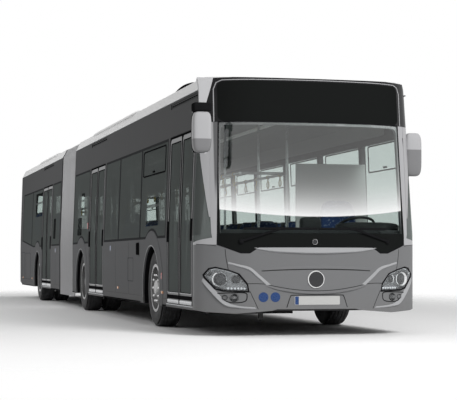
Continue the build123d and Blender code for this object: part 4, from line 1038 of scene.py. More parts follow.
# ---------------------------------------------------------------- wheels
# half width and radius of the tyre's outside, from one bead to the other side's middle
TYRE_HALF = np.array([(0.112, 0.286), (0.122, 0.297), (0.1345, 0.345), (0.1368, 0.372), (0.1335, 0.418),
                      (0.1275, 0.452), (0.1195, 0.4655), (0.1115, 0.474), (0.100, 0.4795),
                      (0.0, 0.4815)])
WALL = 6  # points of each sidewall
GROOVES, GROOVE_HALF, GROOVE_WANDER = (-0.072, -0.026, 0.026, 0.072), 0.0035, 0.0022
LUGS, SHOULDER_X, AROUND = 60, 0.086, 240
BEAD_RADIUS, BEAD_HALF, TWIN_GAP = 0.280, 0.108, 0.312
NUT_COUNT, NUT_CIRCLE, NUT_RADIUS, NUT_HEIGHT = 10, 0.1675, 0.0165, 0.032


def tread(depth, turn):
    """Tyre surface: the profile turned about the axle, sunk by depth in four grooves round the tread
    and in short cuts across its shoulders. Gives a grid of (along the axle, around)."""
    wall, wall_radius = TYRE_HALF[:WALL].T
    across = np.concatenate([wall, np.linspace(TYRE_HALF[WALL, 0], -TYRE_HALF[WALL, 0], 61),
                             -wall[::-1]])
    radius = np.interp(np.abs(across), TYRE_HALF[::-1, 0], TYRE_HALF[::-1, 1])
    radius[:WALL], radius[-WALL:] = wall_radius, wall_radius[::-1]
    inside = np.arange(len(across))
    inside = (inside >= WALL) & (inside < len(across) - WALL)
    cut = np.zeros((len(across), len(turn)))
    wander = GROOVE_WANDER * np.sign(np.sin(turn * LUGS))
    for groove in GROOVES:
        away = np.abs(across[:, None] - groove - wander[None]) / GROOVE_HALF
        cut = np.maximum(cut, np.clip(1.6 - away, 0, 1))
    lug = (np.sin(turn * LUGS) > 0.45)[None] & ((np.abs(across) > SHOULDER_X) & inside)[:, None]
    cut = np.where(lug, np.maximum(cut, 0.75), cut) * inside[:, None]
    return across, radius[:, None] - depth * cut


def tyre(surface, x, station, side, depth):
    """Adds one tyre with its tread, sidewall rings and bead, closed inside the rim."""
    turn = around(AROUND)
    across, radius = tread(depth, turn)
    ribs = sum(0.0016 * np.exp(-((radius - ring) / 0.004) ** 2) for ring in (0.330, 0.405))

    def wheel_points(at, reach):
        """Points at x and a radius, all round the axle."""
        return np.stack(np.broadcast_arrays(at, station + FRONT_Y + reach * np.sin(turn),
                                            WHEEL_Z - reach * np.cos(turn)), -1)

    grid = wheel_points(x + side * (across[:, None] + np.sign(across)[:, None] * ribs), radius)
    grid[..., 2] = np.maximum(grid[..., 2], 0.0008)
    outer, inner, middle = (wheel_points(x + side * w, BEAD_RADIUS)[None]
                            for w in (BEAD_HALF, -BEAD_HALF, 0))
    surface.grid(np.concatenate([outer, grid, inner]), close_v=True)
    surface.grid(np.concatenate([outer, middle, inner])[::-1], close_v=True)


def bolt(surface, centre, axis, radius, height):
    """Hexagon nut with a domed end: a six-sided profile carried along the axis."""
    profile = [(0, 0.0), (0, radius), (height * 0.7, radius), (height * 0.8, radius * 0.86),
               (height * 0.85, radius * 0.5), (height, radius * 0.42), (height, 0.0)]
    surface.turn(profile, centre, axis, 6)


class BUS_OT_wheels(bpy.types.Operator):
    """Builds the treaded tyres and the wheel nuts"""
    bl_idname = "bus.wheels"
    bl_label = "Wheels"

    def execute(self, context):
        depth = context.scene.bus_sizes.tread_depth
        for axle, station in AXLES.items():
            for side, side_name in ((1, "left"), (-1, "right")):
                body = f"wheel_{axle}_{side_name}"
                rubber, nuts = surfaces(2)
                for inward in (0,) if axle == "front" else (0, TWIN_GAP):
                    tyre(rubber, side * (WHEEL_X - inward), station, side, depth)
                rubber.build(f"{body}_tyre", "tyre", body, "tyre",
                             replaces=(f"tyre_{axle}_{side_name}",), sharp=28)
                low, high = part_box(f"rim_{axle}_{side_name}")
                face = max(abs(low.x), abs(high.x)) - 0.030 if axle == "front" else WHEEL_X - 0.110
                for t in around(NUT_COUNT):
                    at = (side * face, station + FRONT_Y + NUT_CIRCLE * cos(t),
                          WHEEL_Z + NUT_CIRCLE * sin(t))
                    bolt(nuts, at, (side, 0, 0), NUT_RADIUS, NUT_HEIGHT)
                nuts.build(f"{body}_nuts", "chrome", body, "rim")
        return {"FINISHED"}


# ---------------------------------------------------------------- front
# x and z of the corners of the driver's side headlamp, seen from the front
LAMP = np.array([(0.760, 0.492), (1.020, 0.500), (1.095, 0.522), (1.190, 0.640), (1.200, 0.672),
                 (1.150, 0.738), (1.090, 0.750), (0.970, 0.722), (0.860, 0.680), (0.775, 0.575)])
MIRROR = np.array([-1, 1])


def front_dir(x, z):
    """Point on the front, and the right, up and outward directions there."""
    at = front_at_x(x, z, 0.0)
    right = unit(front_at_x(x + 0.01, z, 0.0) - at)
    up = unit(front_at_x(x, z + 0.01, 0.0) - at)
    return at, np.array([right, up, unit(np.cross(right, up))])


def inside_lamp(side, share):
    """The lamp's outline, moved towards its middle by a share, on the given side."""
    centre = LAMP.mean(0)
    return (centre + (LAMP - centre) * share) * (side, 1)


def projector(rings, dark, lens, at, out, radius):
    """One round unit in a lamp bowl: a bright ring, a dark one inside it and a domed lens."""
    base = at - out * 0.046
    rings.turn([(0.0, radius * 0.62), (0.008, radius * 0.98), (0.034, radius), (0.040, radius * 0.93),
                (0.032, radius * 0.84), (0.014, radius * 0.66), (0.0, radius * 0.62)], base, out, 40)
    dark.turn([(0.004, radius * 0.64), (0.004, radius * 0.80), (0.022, radius * 0.82),
               (0.022, radius * 0.76), (0.008, radius * 0.64)], base, out, 36, close_u=True)
    dome = [(0.010 + radius * 0.24 * cos(t), radius * 0.60 * sin(t)) for t in np.linspace(0, pi / 2, 7)]
    lens.turn(dome + [(0.0, radius * 0.60), (0.0, 0.0)], base, out, 32)


# depth of the lamp bowl at shares of its outline, and the corners of the recess round the fog lamps
BOWL = np.array([(1.0, -0.004), (0.975, -0.006), (0.93, -0.026), (0.86, -0.036), (0.55, -0.042),
                 (0.10, -0.045)])
RECESS = [(1.085, 0.470), (0.960, 0.478), (0.800, 0.478), (0.775, 0.440), (0.800, 0.385), (0.930, 0.372),
          (1.020, 0.405), (1.085, 0.470)]


class BUS_OT_headlamps(bpy.types.Operator):
    """Builds the lamp bowls, projector rings, lenses, fog lamps and indicators"""
    bl_idname = "bus.headlamps"
    bl_label = "Headlamps"

    def execute(self, context):
        bowl, rings, lens, lights, dark, cover = surfaces(6)
        for side in (1, -1):
            path = dense(inside_lamp(side, 0.985), 0.02, True)
            plane = path.mean(0) + (path - path.mean(0))[None] * BOWL[:, 0, None, None]
            bowl.grid(np.concatenate([lay(front_at_x, path, -0.050)[None],
                                      lay(front_at_x, plane, BOWL[:, 1:])]), close_v=True, cap_u=True)
            for x, z, radius in ((1.052, 0.622, 0.082), (0.890, 0.622, 0.050), (1.150, 0.690, 0.034)):
                at, frame_there = front_dir(side * x, z)
                projector(rings, dark, lens, at, unit(frame_there[2] + (0.0, -0.6, 0.0)), radius)
            for x in np.linspace(0.80, 0.975, 6):
                at, (_, _, out) = front_dir(side * x, 0.522)
                lights.turn([(0.0, 0.0), (0.0, 0.013), (0.012, 0.012), (0.017, 0.006), (0.018, 0.0)],
                            at - out * 0.040, out, 16)
            strip(lights, front_at_x, curve(inside_lamp(side, 0.90)[5:9], 6), 0.016, -0.040, -0.012)
            for x, wide in ((0.905, 0.046), (1.000, 0.034)):
                at, frame_there = front_dir(side * x, 0.428)
                oval = turned([(-0.020, wide * 0.75), (-0.004, wide), (0.008, wide), (0.012, wide * 0.9),
                               (0.002, wide * 0.72), (-0.006, wide * 0.60), (-0.012, wide * 0.30),
                               (-0.014, 0.0)], at, frame_there[2], 40)
                bowl.grid(at + ((oval - at) @ frame_there.T * (1, 0.80, 1)) @ frame_there,
                          close_v=True, cap_u=True)
            strip(dark, front_at_x, curve(np.array(RECESS) * (side, 1), 6), 0.010, -0.004, 0.003)
            strip(dark, front_at_x, dense(inside_lamp(side, 1.012), 0.02, True), 0.017, -0.010, 0.003,
                  closed=True)
            plate(cover, front_at_x, dense(inside_lamp(side, 0.99), 0.03, True), -0.008, -0.002, 0.001,
                  4, 0.003)
        bowl.build("headlamp_bowls", "reflector", "front_car", "lamp", replaces=("headlamps",))
        rings.build("headlamp_rings", "chrome", "front_car", "lamp")
        lens.build("headlamp_lenses", "badge", "front_car", "lamp", sharp=60)
        lights.build("headlamp_indicators", "white_lens", "front_car", "lamp")
        dark.build("headlamp_gaskets", "trim", "front_car", "black_plastic")
        cover.build("headlamp_covers", "clear", "front_car", "lamp")
        return {"FINISHED"}


def curve(points, steps=10):
    """Smooth path through a few points of a mapping's plane."""
    return smooth_path(points, steps)


def fold_line(surface, points, width=0.006, high=0.0012):
    """Thin dark line on the front through a few (x, z) points, rounded between them; it draws joints and
    painted shadows.
    """
    strip(surface, front_at_x, curve(points), width, -0.003, high)


def facet(surface, upper, lower, rise, lip=0.007):
    """Raised fold between two lines: flush at the upper one, proud by rise at the lower one.

    Under the lower line it falls back over a lip. The rise fades at both ends with the sine of
    the share of the way to the power of 0.6."""
    upper, lower = curve(upper), curve(lower)
    foot = lower + unit(lower - upper) * lip
    swell = rise * np.sin(np.linspace(0.02, 0.98, len(upper)) * pi) ** 0.6
    plane = np.stack([upper, upper, lower, lower * 0.5 + foot * 0.5, foot, foot], 1)
    flush = 0 * swell
    out = np.stack([flush - 0.006, flush + 0.0004, swell, swell * 0.75, flush + 0.0004, flush - 0.006],
                   1)
    surface.grid(lay(front_at_x, plane, out), close_v=True, cap_u=True)


def both(points):
    """A line's right-hand points, from the outside to the middle, with their mirror image."""
    points = np.asarray(points, float)
    return np.vstack([points, (points * MIRROR)[::-1][int(points[-1, 0] == 0):]])


# (x, z) points on the driver's side: panel joints with their widths, and the upper and lower lines,
# with their rises, of the raised folds that get a painted highlight
PANEL_JOINTS = (
    (0.006, [(1.262, 1.004), (1.150, 0.996), (1.085, 0.985)]),
    (0.007, [(0.998, 0.950), (0.988, 0.854), (0.966, 0.725)]),
    (0.007, [(0.780, 0.575), (0.690, 0.578), (0.562, 0.572)]),
    (0.007, [(0.745, 0.497), (0.700, 0.400), (0.655, 0.300)]))
HIGHLIGHT_FOLDS = (
    (0.014, [(0.965, 0.812), (0.860, 0.785), (0.740, 0.752), (0.640, 0.670), (0.520, 0.566)],
     [(0.968, 0.799), (0.865, 0.768), (0.752, 0.730), (0.662, 0.652), (0.556, 0.560)]),
    (0.018, [(1.205, 0.640), (1.120, 0.540), (0.985, 0.385), (0.860, 0.338), (0.690, 0.322)],
     [(1.215, 0.610), (1.140, 0.505), (1.005, 0.355), (0.865, 0.322), (0.680, 0.310)]))


class BUS_OT_front_trim(bpy.types.Operator):
    """Adds the panel joints, painted shadow lines, folds, plate, discs and badges of the front"""
    bl_idname = "bus.front_trim"
    bl_label = "Front Trim"

    def execute(self, context):
        dark, crease, bright, plate_part, blue, badge, face = surfaces(7)
        for side in (1, -1):
            for width, points in PANEL_JOINTS:
                fold_line(dark, np.array(points) * (side, 1), width)
            for rise, upper, lower in HIGHLIGHT_FOLDS:
                facet(bright, np.array(upper) * (side, 1), np.array(lower) * (side, 1), rise, 0.009)
        facet(bright, both([(0.700, 0.965), (0.450, 0.968), (0.200, 0.969), (0.0, 0.970)]),
              both([(0.655, 0.950), (0.450, 0.928), (0.200, 0.915), (0.0, 0.911)]), 0.026, 0.014)
        facet(crease, both([(0.600, 0.566), (0.420, 0.530), (0.220, 0.502), (0.0, 0.492)]),
              both([(0.560, 0.546), (0.420, 0.508), (0.220, 0.478), (0.0, 0.468)]), 0.020)
        fold_line(dark, both([(0.600, 0.576), (0.420, 0.538), (0.220, 0.509), (0.0, 0.498)]), 0.007)
        line = both([(0.620, 0.722), (0.400, 0.732), (0.154, 0.738), (0.0, 0.739)])
        facet(crease, line + (0, 0.030), line, 0.010, 0.004)
        # dark strip under the upper character fold: painted shadow of its overhang
        fold_line(dark, line - (0, 0.008), 0.010)
        # dark line round the number plate's arch: painted shade of a recess that is not modelled
        plate_arch = [(0.345, 0.318), (0.318, 0.400), (0.300, 0.440), (0.270, 0.451), (0.0, 0.453)]
        fold_line(dark, both(plate_arch), 0.009, 0.002)
        dark.build("front_joints", "seam", "front_car", "black_plastic")
        crease.build("front_folds", "front_paint", "front_car", "body", sharp=25)
        # the raised folds are real; their lighter fold paint is a painted highlight along the creases
        bright.build("bright_folds", "fold", "front_car", "body", sharp=25)

        plate(plate_part, front_at_x, rounded(-0.258, 0.258, 0.346, 0.442, 0.010), -0.0085, 0.001,
              0.0015)
        plate_part.build("number_plate", "plate", "front_car", "body")
        plate(blue, front_at_x, rounded(-0.253, -0.212, 0.350, 0.438, 0.004), 0.0005, 0.0016, 0.0005)
        for x in (-0.600, -0.470):
            plate(blue, front_at_x, circle_path(x, 0.431, 0.053, 40), -0.002, 0.0022, 0.001)
        blue.build("blank_discs", "disc", "front_car", "body")
        for x, z, radius, proud in ((-0.018, 0.622, 0.096, 0.014), (-0.030, 1.030, 0.031, 0.008)):
            at, (_, _, out) = front_dir(x, z)
            badge.turn([(-0.004, radius * 0.80), (-0.004, radius), (proud * 0.7, radius),
                        (proud, radius * 0.95), (proud * 0.8, radius * 0.88),
                        (proud * 0.4, radius * 0.86)], at, out, 56, close_u=True)
            face.turn([(-0.003, 0.0), (-0.003, radius * 0.87), (proud * 0.3, radius * 0.87),
                       (proud * 0.7, radius * 0.5), (proud * 0.8, 0.0)], at, out, 48)
        badge.build("badge_rings", "chrome", "front_car", "rim")
        face.build("badge_faces", "badge", "front_car", "black_plastic", sharp=60)
        return {"FINISHED"}


class BUS_OT_screen_trim(bpy.types.Operator):
    """Adds the windscreen's seals, the sign's edge and the pillars' wings, which widen upwards"""
    bl_idname = "bus.screen_trim"
    bl_label = "Windscreen Trim"

    def execute(self, context):
        seal, edge, wings = surfaces(3)
        half = np.array([(0.0, 0.972), (0.650, 0.972), (0.745, 0.908), (0.840, 0.908), (1.075, 1.000),
                         (1.045, 2.335)])
        ring = np.vstack([half, (half * MIRROR)[:0:-1]])
        strip(seal, front_at_x, dense(ring, 0.04, True), 0.012, -0.008, 0.0015, closed=True)
        bar(seal, front_at_x, (-1.040, 2.340), (1.040, 2.340), 0.04, 0.010, -0.006, 0.002)
        seal.build("windscreen_seals", "trim", "front_car", "black_plastic")
        over_sign = both([(1.088, 2.340), (1.088, 2.700), (1.060, 2.770), (1.000, 2.796), (0.0, 2.798)])
        strip(edge, front_at_x, dense(over_sign[::-1], 0.04), 0.010, -0.004, 0.003)
        edge.build("sign_edge", "silver", "front_car", "rail")
        share = np.linspace(0, 1, 24)[:, None]
        outer = 1.200 + 0.165 * share ** 0.95
        u = outer + (1.185 - outer) * np.linspace(0, 1, 7)
        z = 1.300 + 1.030 * share + 0 * u
        for side in (1, -1):
            rings = [front_map(side * u, z, 0.0032), front_map(side * u[:, ::-1], z, -0.004)]
            wings.grid(np.concatenate(rings, axis=1), close_v=True, cap_u=True)
        wings.build("pillar_wings", "silver", "front_car", "rail")
        return {"FINISHED"}


SPINDLE_X, SPINDLE_Z, BLADE_Z = 0.835, 1.035, 1.172


class BUS_OT_wipers(bpy.types.Operator):
    """Builds the two wipers: spindles, arms and blades"""
    bl_idname = "bus.wipers"
    bl_label = "Wipers"

    def execute(self, context):
        arms = Surface()
        for side in (1, -1):
            at, (_, _, out) = front_dir(side * SPINDLE_X, SPINDLE_Z)
            arms.turn([(-0.002, 0.030), (0.010, 0.030), (0.018, 0.024), (0.024, 0.016), (0.026, 0.0)],
                      at, out, 28, cap_u=True)
            reach = np.linspace(0, 1, 14)
            path = np.stack([side * (SPINDLE_X - 0.425 * reach), SPINDLE_Z + 0.137 * reach], -1)
            for low, width, start in ((0.010, 0.026, 0), (0.012, 0.018, 5)):
                strip(arms, front_at_x, path[start:], width, low, low + 0.012, bevel=0.4)
            blade = dense([(side * 0.810, BLADE_Z), (side * 0.010, BLADE_Z)], 0.05)
            strip(arms, front_at_x, blade, 0.026, 0.010, 0.024, bevel=0.45)
            strip(arms, front_at_x, blade, 0.006, 0.001, 0.012)
            strip(arms, front_at_x, [(side * 0.450, BLADE_Z), (side * 0.370, BLADE_Z)], 0.034, 0.012,
                  0.027)
        arms.build("wiper_set", "trim", "front_car", "black_plastic", replaces=("wipers",))
        return {"FINISHED"}


# ---------------------------------------------------------------- bellows
BELLOWS_START, BELLOWS_END, SKIRT_Z = 9.676, 11.334, 0.212
BELLOWS_LONG = BELLOWS_END - BELLOWS_START
CLAMPS = {"front": 9.668, "rear": 11.342}


def section_line(inset, low_z, step):
    """Cross-section of the body as a dense (x, z) line from one foot over the roof to the other,
    moved inwards by the inset along the line's normal, with its normals."""
    half = np.array([(1.275, low_z), *zip(HALF_WIDTHS[1:], HALF_LEVELS[1:])])
    line = dense(np.vstack([half, (half * MIRROR)[:-1][::-1]]), step)
    line = line + path_normals(line, False) * inset
    return line, path_normals(line, False)


def rib(surface, at, half, inset, low_z, step, depth):
    """Adds a hoop of rectangular section round the body at a station."""
    line, normal = section_line(inset, low_z, step)
    ring = np.stack([line + normal * d for d in (0.0, 0.0, depth, depth)], 1)
    where = at + half * np.array([-1, 1, 1, -1])
    surface.grid(place(ring[..., 0], where[None], ring[..., 1]), close_v=True, cap_u=True)


class BUS_OT_bellows(bpy.types.Operator):
    """Builds the folded bellows as a thick sheet, with its hoops and end clamps"""
    bl_idname = "bus.bellows"
    bl_label = "Bellows"

    def execute(self, context):
        sizes = context.scene.bus_sizes
        folds, hoops = surfaces(2)
        share = np.linspace(0, 1, sizes.fold_count * 8 + 1)[:, None]
        wave = np.abs(np.sin(share * pi * sizes.fold_count)) ** 0.8
        outer, _ = section_line(0.0, SKIRT_Z, 0.09)
        normal = path_normals(outer, False)
        sag = 0.004 * np.sin(outer[:, 1] * 2.1) * np.sin(outer[:, 0] * 3.0)
        depth = 0.014 + sizes.fold_depth * (1 - wave) + sag[None] * wave
        along = BELLOWS_START + BELLOWS_LONG * share
        skin_out, skin_in = (place(part[..., 0], along, part[..., 1]) for part in (
            outer + normal * depth[..., None], outer + normal * (depth + 0.006)[..., None]))
        folds.grid(np.concatenate([skin_out, skin_in[:, ::-1]], axis=1), close_v=True)
        for end in (0, -1):
            folds.grid(np.stack([skin_out[end], skin_in[end]]))
        for number in range(1, sizes.fold_count):
            at = (number + 0.5) / sizes.fold_count
            rib(hoops, BELLOWS_START + BELLOWS_LONG * at, 0.0035, 0.0105, 0.214, 0.09,
                0.010)
        piece = folds.build("bellows_folds", "bellows", None, "bellows", sharp=50)
        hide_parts("bellows")
        for piece in (piece, hoops.build("bellows_hoops", "bellows_rib", None, "bellows")):
            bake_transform(piece)
        for name, at in CLAMPS.items():
            clamp = Surface()
            rib(clamp, at, 0.004, 0.004, 0.285, 0.2, 0.030)
            clamp.build(f"bellows_clamp_{name}", "trim", f"{name}_car", "black_plastic")
        return {"FINISHED"}


# ---------------------------------------------------------------- side windows and trim
CARS = ("front_car", "rear_car")
FLARE_RADIUS = 0.532


def pane_outline(s0, s1, car):
    """Outline of one pane in side view, lifted over the wheel arches and along the rising waistline."""
    foot = np.linspace(s0, s1, 60)
    level = np.full(60, PANE_Z[0])
    for station in AXLES.values():
        reach = ARCH_RADIUS ** 2 - (foot - station) ** 2
        level = np.where(reach > 0, np.maximum(level, WHEEL_Z + np.sqrt(np.maximum(reach, 0))), level)
    if car == "rear_car":
        level = np.maximum(level, PANE_Z[0] + RISE * np.maximum(foot - RISE_S, 0) / (TAIL_S - RISE_S))
    return np.vstack([np.stack([foot, level], -1), (s1, PANE_Z[1]), (s0, PANE_Z[1])])


class BUS_OT_side_windows(bpy.types.Operator):
    """Adds the dark borders of the side panes and the tilting upper lights"""
    bl_idname = "bus.side_windows"
    bl_label = "Side Windows"

    def execute(self, context):
        gasket = context.scene.bus_sizes.gasket
        border, lights = dict(zip(CARS, surfaces(2))), dict(zip(CARS, surfaces(2)))
        top = PANE_Z[1] - 0.045
        for car, side, stations in PANES:
            mapping = side_map(side)
            for a, b in zip(stations, stations[1:]):
                strip(border[car], mapping, dense(pane_outline(a + 0.004, b - 0.004, car), 0.15, True),
                      gasket, -0.004, 0.0006, closed=True, bevel=0.05, shift=gasket / 2)
                if b - a > 1.3 and (side > 0 or a < 3.0):
                    middle = (a + b) / 2
                    strip(lights[car], mapping,
                          pane_path(a + 0.13, b - 0.13, top - 0.335, top - 0.02, 0.03, 0.3), 0.016,
                          -0.004, 0.006, closed=True)
                    strip(lights[car], mapping,
                          [(middle - 0.05, top - 0.300), (middle + 0.05, top - 0.300)], 0.022, -0.004,
                          0.012)
        for car in CARS:
            border[car].build(f"{car}_pane_borders", "gloss_black", car, "black_plastic")
            lights[car].build(f"{car}_tilt_windows", "trim", car, "black_plastic")
        return {"FINISHED"}


def free_spans(car, side, s0, s1):
    """Stretches of a side wall's foot between its doors and wheel arches."""
    clear = [(d0 - 0.01, d1 + 0.01) for _, d0, d1, owner in DOORS if owner == car and side < 0]
    clear += [(station - 0.535, station + 0.535) for station in AXLES.values() if s0 < station < s1]
    spans, at = [], s0
    for d0, d1 in sorted(clear) + [(s1, s1)]:
        if d0 - at >= 0.08:
            spans.append((at, d0))
        at = max(at, d1)
    return spans


class BUS_OT_side_trim(bpy.types.Operator):
    """Adds panel joints, foot rails, marker lamps, arch lips with a painted highlight and the roof
    gutter
    """
    bl_idname = "bus.side_trim"
    bl_label = "Side Trim"

    def execute(self, context):
        for car, s0, s1, markers in (("front_car", 0.50, 9.665, (2.13, 5.19)),
                                     ("rear_car", 11.345, 17.55, (15.60, 17.30))):
            dark, lips, gutter, arches, amber = surfaces(5)
            for side in (-1, 1):
                mapping = side_map(side)

                def flare(a, b, out):
                    return place(side * (HALF_WIDTHS[0] + out), a, b)

                for a, b in free_spans(car, side, s0, s1):
                    bar(dark, mapping, (a + 0.01, 0.372), (b - 0.01, 0.372), 0.4, 0.004, -0.002, 0.0012)
                    bar(lips, mapping, (a + 0.01, 0.290), (b - 0.01, 0.290), 0.4, 0.016, -0.004, 0.006)
                    for seam in np.linspace(a, b, int((b - a) / 1.1) + 2)[1:-1]:
                        bar(dark, mapping, (seam, 0.376), (seam, 1.080), 0.1, 0.004, -0.002, 0.0011)
                bar(gutter, mapping, (s0, 2.706), (s1, 2.706), 0.4, 0.014, -0.003, 0.007, bevel=0.45)
                arc = np.linspace(radians(-14), radians(194), 60)
                for station in AXLES.values():
                    if s0 < station < s1:
                        path = (station, WHEEL_Z) + FLARE_RADIUS * np.stack([np.cos(arc), np.sin(arc)],
                                                                            -1)
                        strip(arches, flare, path, 0.013, -0.02, 0.0105)
                for at in markers:
                    plate(amber, mapping, rounded(at - 0.050, at + 0.050, 0.425, 0.460, 0.012), -0.001,
                          0.009, 0.004)
            dark.build(f"{car}_joints", "seam", car, "black_plastic")
            lips.build(f"{car}_lips", "trim", car, "black_plastic")
            # the arch lips are real; their lighter fold paint is a painted highlight
            arches.build(f"{car}_arch_lips", "fold", car, "body")
            gutter.build(f"{car}_gutters", "steel", car, "rail")
            amber.build(f"{car}_markers", "amber_lens", car, "tail_lamp")
        return {"FINISHED"}


def vent(surface, mapping, s0, s1, z0, z1, rows):
    """Louvred grille: a rounded frame and level slats."""
    strip(surface, mapping, rounded(s0, s1, z0, z1, 0.012), 0.014, -0.002, 0.006, closed=True)
    for z in np.linspace(z0, z1, rows + 2)[1:-1]:
        bar(surface, mapping, (s0, z), (s1, z), 0.4, (z1 - z0) / rows * 0.62, -0.001, 0.004)


# car: side, stations, heights and slats of its vents; side, stations and heights of its flaps; sticker
SIDE_GEAR = {
    "front_car": (((-1, 8.72, 9.10, 1.25, 1.52, 12), (1, 0.62, 1.30, 0.62, 0.90, 9)),
                  ((-1, 4.05, 4.45, 0.55, 0.86), (1, 4.0, 4.5, 0.5, 0.9), (1, 6.3, 6.9, 0.45, 1.0)),
                  (5.84, 1.004)),
    "rear_car": (((-1, 11.98, 12.20, 1.24, 1.60, 16), (1, 15.85, 17.25, 0.42, 1.02, 16)),
                 ((1, 12.2, 13.0, 0.45, 1.0), (-1, 17.05, 17.5, 0.42, 1.0)), (11.92, 1.010)),
}


class BUS_OT_side_gear(bpy.types.Operator):
    """Adds the vents, flaps, blank stickers and small boxes on the side walls"""
    bl_idname = "bus.side_gear"
    bl_label = "Vents and Flaps"

    def execute(self, context):
        for car, (vents, flaps, sticker) in SIDE_GEAR.items():
            dark, discs = surfaces(2)
            for side, *spot in vents:
                vent(dark, side_map(side), *spot)
            if car == "rear_car":
                strip(dark, DOOR_SIDE, pane_path(15.95, 16.95, 0.42, 0.98, 0.02, 0.2), 0.005, -0.002,
                      0.0012, closed=True)
            for side, *spot in flaps:
                strip(dark, side_map(side), rounded(*spot, 0.02), 0.005, -0.002, 0.0013, closed=True)
            plate(discs, DOOR_SIDE, circle_path(*sticker, 0.042), -0.001, 0.0015, 0.0005)
            dark.build(f"{car}_grilles", "trim", car, "black_plastic")
            discs.build(f"{car}_stickers", "disc", car, "body")
        boxes, red = surfaces(2)
        plate(red, DOOR_SIDE, rounded(8.00, 8.04, 1.33, 1.43, 0.010), -0.001, 0.008, 0.003)
        plate(red, DOOR_SIDE, rounded(2.13, 2.17, 0.60, 0.68, 0.010), -0.001, 0.012, 0.004)
        plate(boxes, DOOR_SIDE, rounded(3.62, 3.70, 0.90, 1.06, 0.012), -0.001, 0.030, 0.008)
        boxes.build("door_button_box", "trim", "front_car", "black_plastic")
        red.build("door_button", "red_lens", "front_car", "tail_lamp")
        return {"FINISHED"}


# ---------------------------------------------------------------- mirrors
def superbox(centre, half, power=5.0, nu=20, nv=32):
    """Rounded box: each coordinate is half * sign(c) * |c| ** (2 / power) of a sphere's coordinates."""
    def bent(value):
        return np.sign(value) * np.abs(value) ** (2.0 / power)

    v = np.linspace(-pi / 2, pi / 2, nu)[:, None]
    u = np.linspace(-pi, pi, nv, endpoint=False)[None]
    x, y, z = bent(np.cos(v)) * bent(np.cos(u)), bent(np.cos(v)) * bent(np.sin(u)), bent(np.sin(v))
    return np.stack(np.broadcast_arrays(x, y, z), -1) * half + np.asarray(centre, float)


# middle (x, station, z) and half sizes of the door-side and driver's side mirror heads
MIRRORS = (((-1.350, -0.225, 2.174), (0.100, 0.0745, 0.216)),
           ((1.350, 0.640, 2.045), (0.100, 0.0745, 0.249)))


class BUS_OT_mirrors(bpy.types.Operator):
    """Builds the two outside mirrors: shells, dark backs, glass and the broad arm"""
    bl_idname = "bus.mirrors"
    bl_label = "Mirrors"

    def execute(self, context):
        shell, dark, glass = surfaces(3)
        for centre, half in MIRRORS:
            centre = place(*centre)
            shell.box(centre + (0, -0.006, 0), half - np.array((0, 0.008, 0)), 4.5)
            dark.box(centre + (0, 0.040, 0), half - np.array((0.004, 0.042, 0.004)), 6.0)
            for z, pane, rings, dome in ((0.055, (-0.078, 0.078, -0.155, 0.170, 0.022), 1, 0.0),
                                         (-0.165, (-0.076, 0.076, -0.052, 0.045, 0.020), 3, 0.001)):
                behind = flat_map(centre + (0, half[1] - 0.001, z), (-1, 0, 0), (0, 0, 1))
                plate(glass, behind, rounded(*pane), -0.004, 0.0005, 0.001, rings, dome)
        dark.box(place(-1.350, -0.225, 2.432), (0.097, 0.072, 0.047), 7.0)
        share = np.linspace(0, 1, 12)[:, None, None]
        low = place((-1.375, -1.300), -0.225, 2.475)
        high = place((-1.290, -1.110), 0.235, 2.806)
        bend = np.sin(share * pi) * (0, -0.035, 0.020)
        edge = low + (high - low) * share + bend
        thick = (0.028 + 0.020 * share) * (0.0, 0.86, -0.5)
        shell.grid(np.concatenate([edge, (edge + thick)[:, ::-1]], 1), close_v=True, cap_u=True)
        bracket = place((1.350, 1.30, 1.225), 0.640, (2.235, 2.262, 2.270))
        tube(shell, smooth_path(bracket, 6), 0.026, 14, flat=0.8)
        shell.build("mirror_shells", "mirror_shell", "front_car", "mirror_shell", replaces=("mirrors",),
                    sharp=50)
        dark.build("mirror_backs", "trim", "front_car", "black_plastic", sharp=50)
        glass.build("mirror_glasses", "mirror", "front_car", "rim")
        return {"FINISHED"}


# ---------------------------------------------------------------- cabin
# seat rows: the sides they stand on, the height of their floor and their stations
SEAT_ROWS = {
    "front_car": (((1,), 0.304, (3.50, 4.25, 5.00, 5.75, 6.50, 7.25)),
                  ((-1,), 0.304, (3.50, 4.25, 5.00, 5.65))),
    "rear_car": (((1,), 0.304, (11.45, 12.15, 12.85, 13.50)), ((-1,), 0.304, (11.45,)),
                 ((-1, 1), 0.800, (15.60, 16.30, 17.00))),
}
SEAT_PITCH, SEAT_WIDE, SEAT_MIDDLE = 0.420, 0.405, 0.750
PAD_HALF = (SEAT_WIDE - 0.02) / 2


def cushion(x, s, low):
    """Seat cushion: a crowned pad, thick at the front edge, with its sides drawn in."""
    grid = superbox((0, 0, 0), (PAD_HALF, 0.190, 0.032), 4.2, 12, 28)
    upper = grid[..., 2] > 0
    crown = 0.010 * (1 - (grid[..., 0] / PAD_HALF) ** 2) * upper
    grid[..., 2] += crown - 0.010 * (grid[..., 1] / 0.19) ** 2 * upper
    return grid + place(x, s + 0.215, low + 0.425)


def backrest(x, s, low):
    """Backrest pad: a crowned slab that leans back with height and narrows to its rounded top."""
    grid = superbox((0, 0, 0), (PAD_HALF, 0.026, 0.270), 4.2, 16, 28)
    grid[..., 0] *= 1 - 0.12 * np.clip(grid[..., 2] / 0.27, 0, 1) ** 2
    crown = 0.010 * (1 - (grid[..., 0] / PAD_HALF) ** 2) * (grid[..., 1] < 0)
    grid[..., 1] += grid[..., 2] * 0.135 - crown
    return grid + place(x, s + 0.428, low + 0.775)


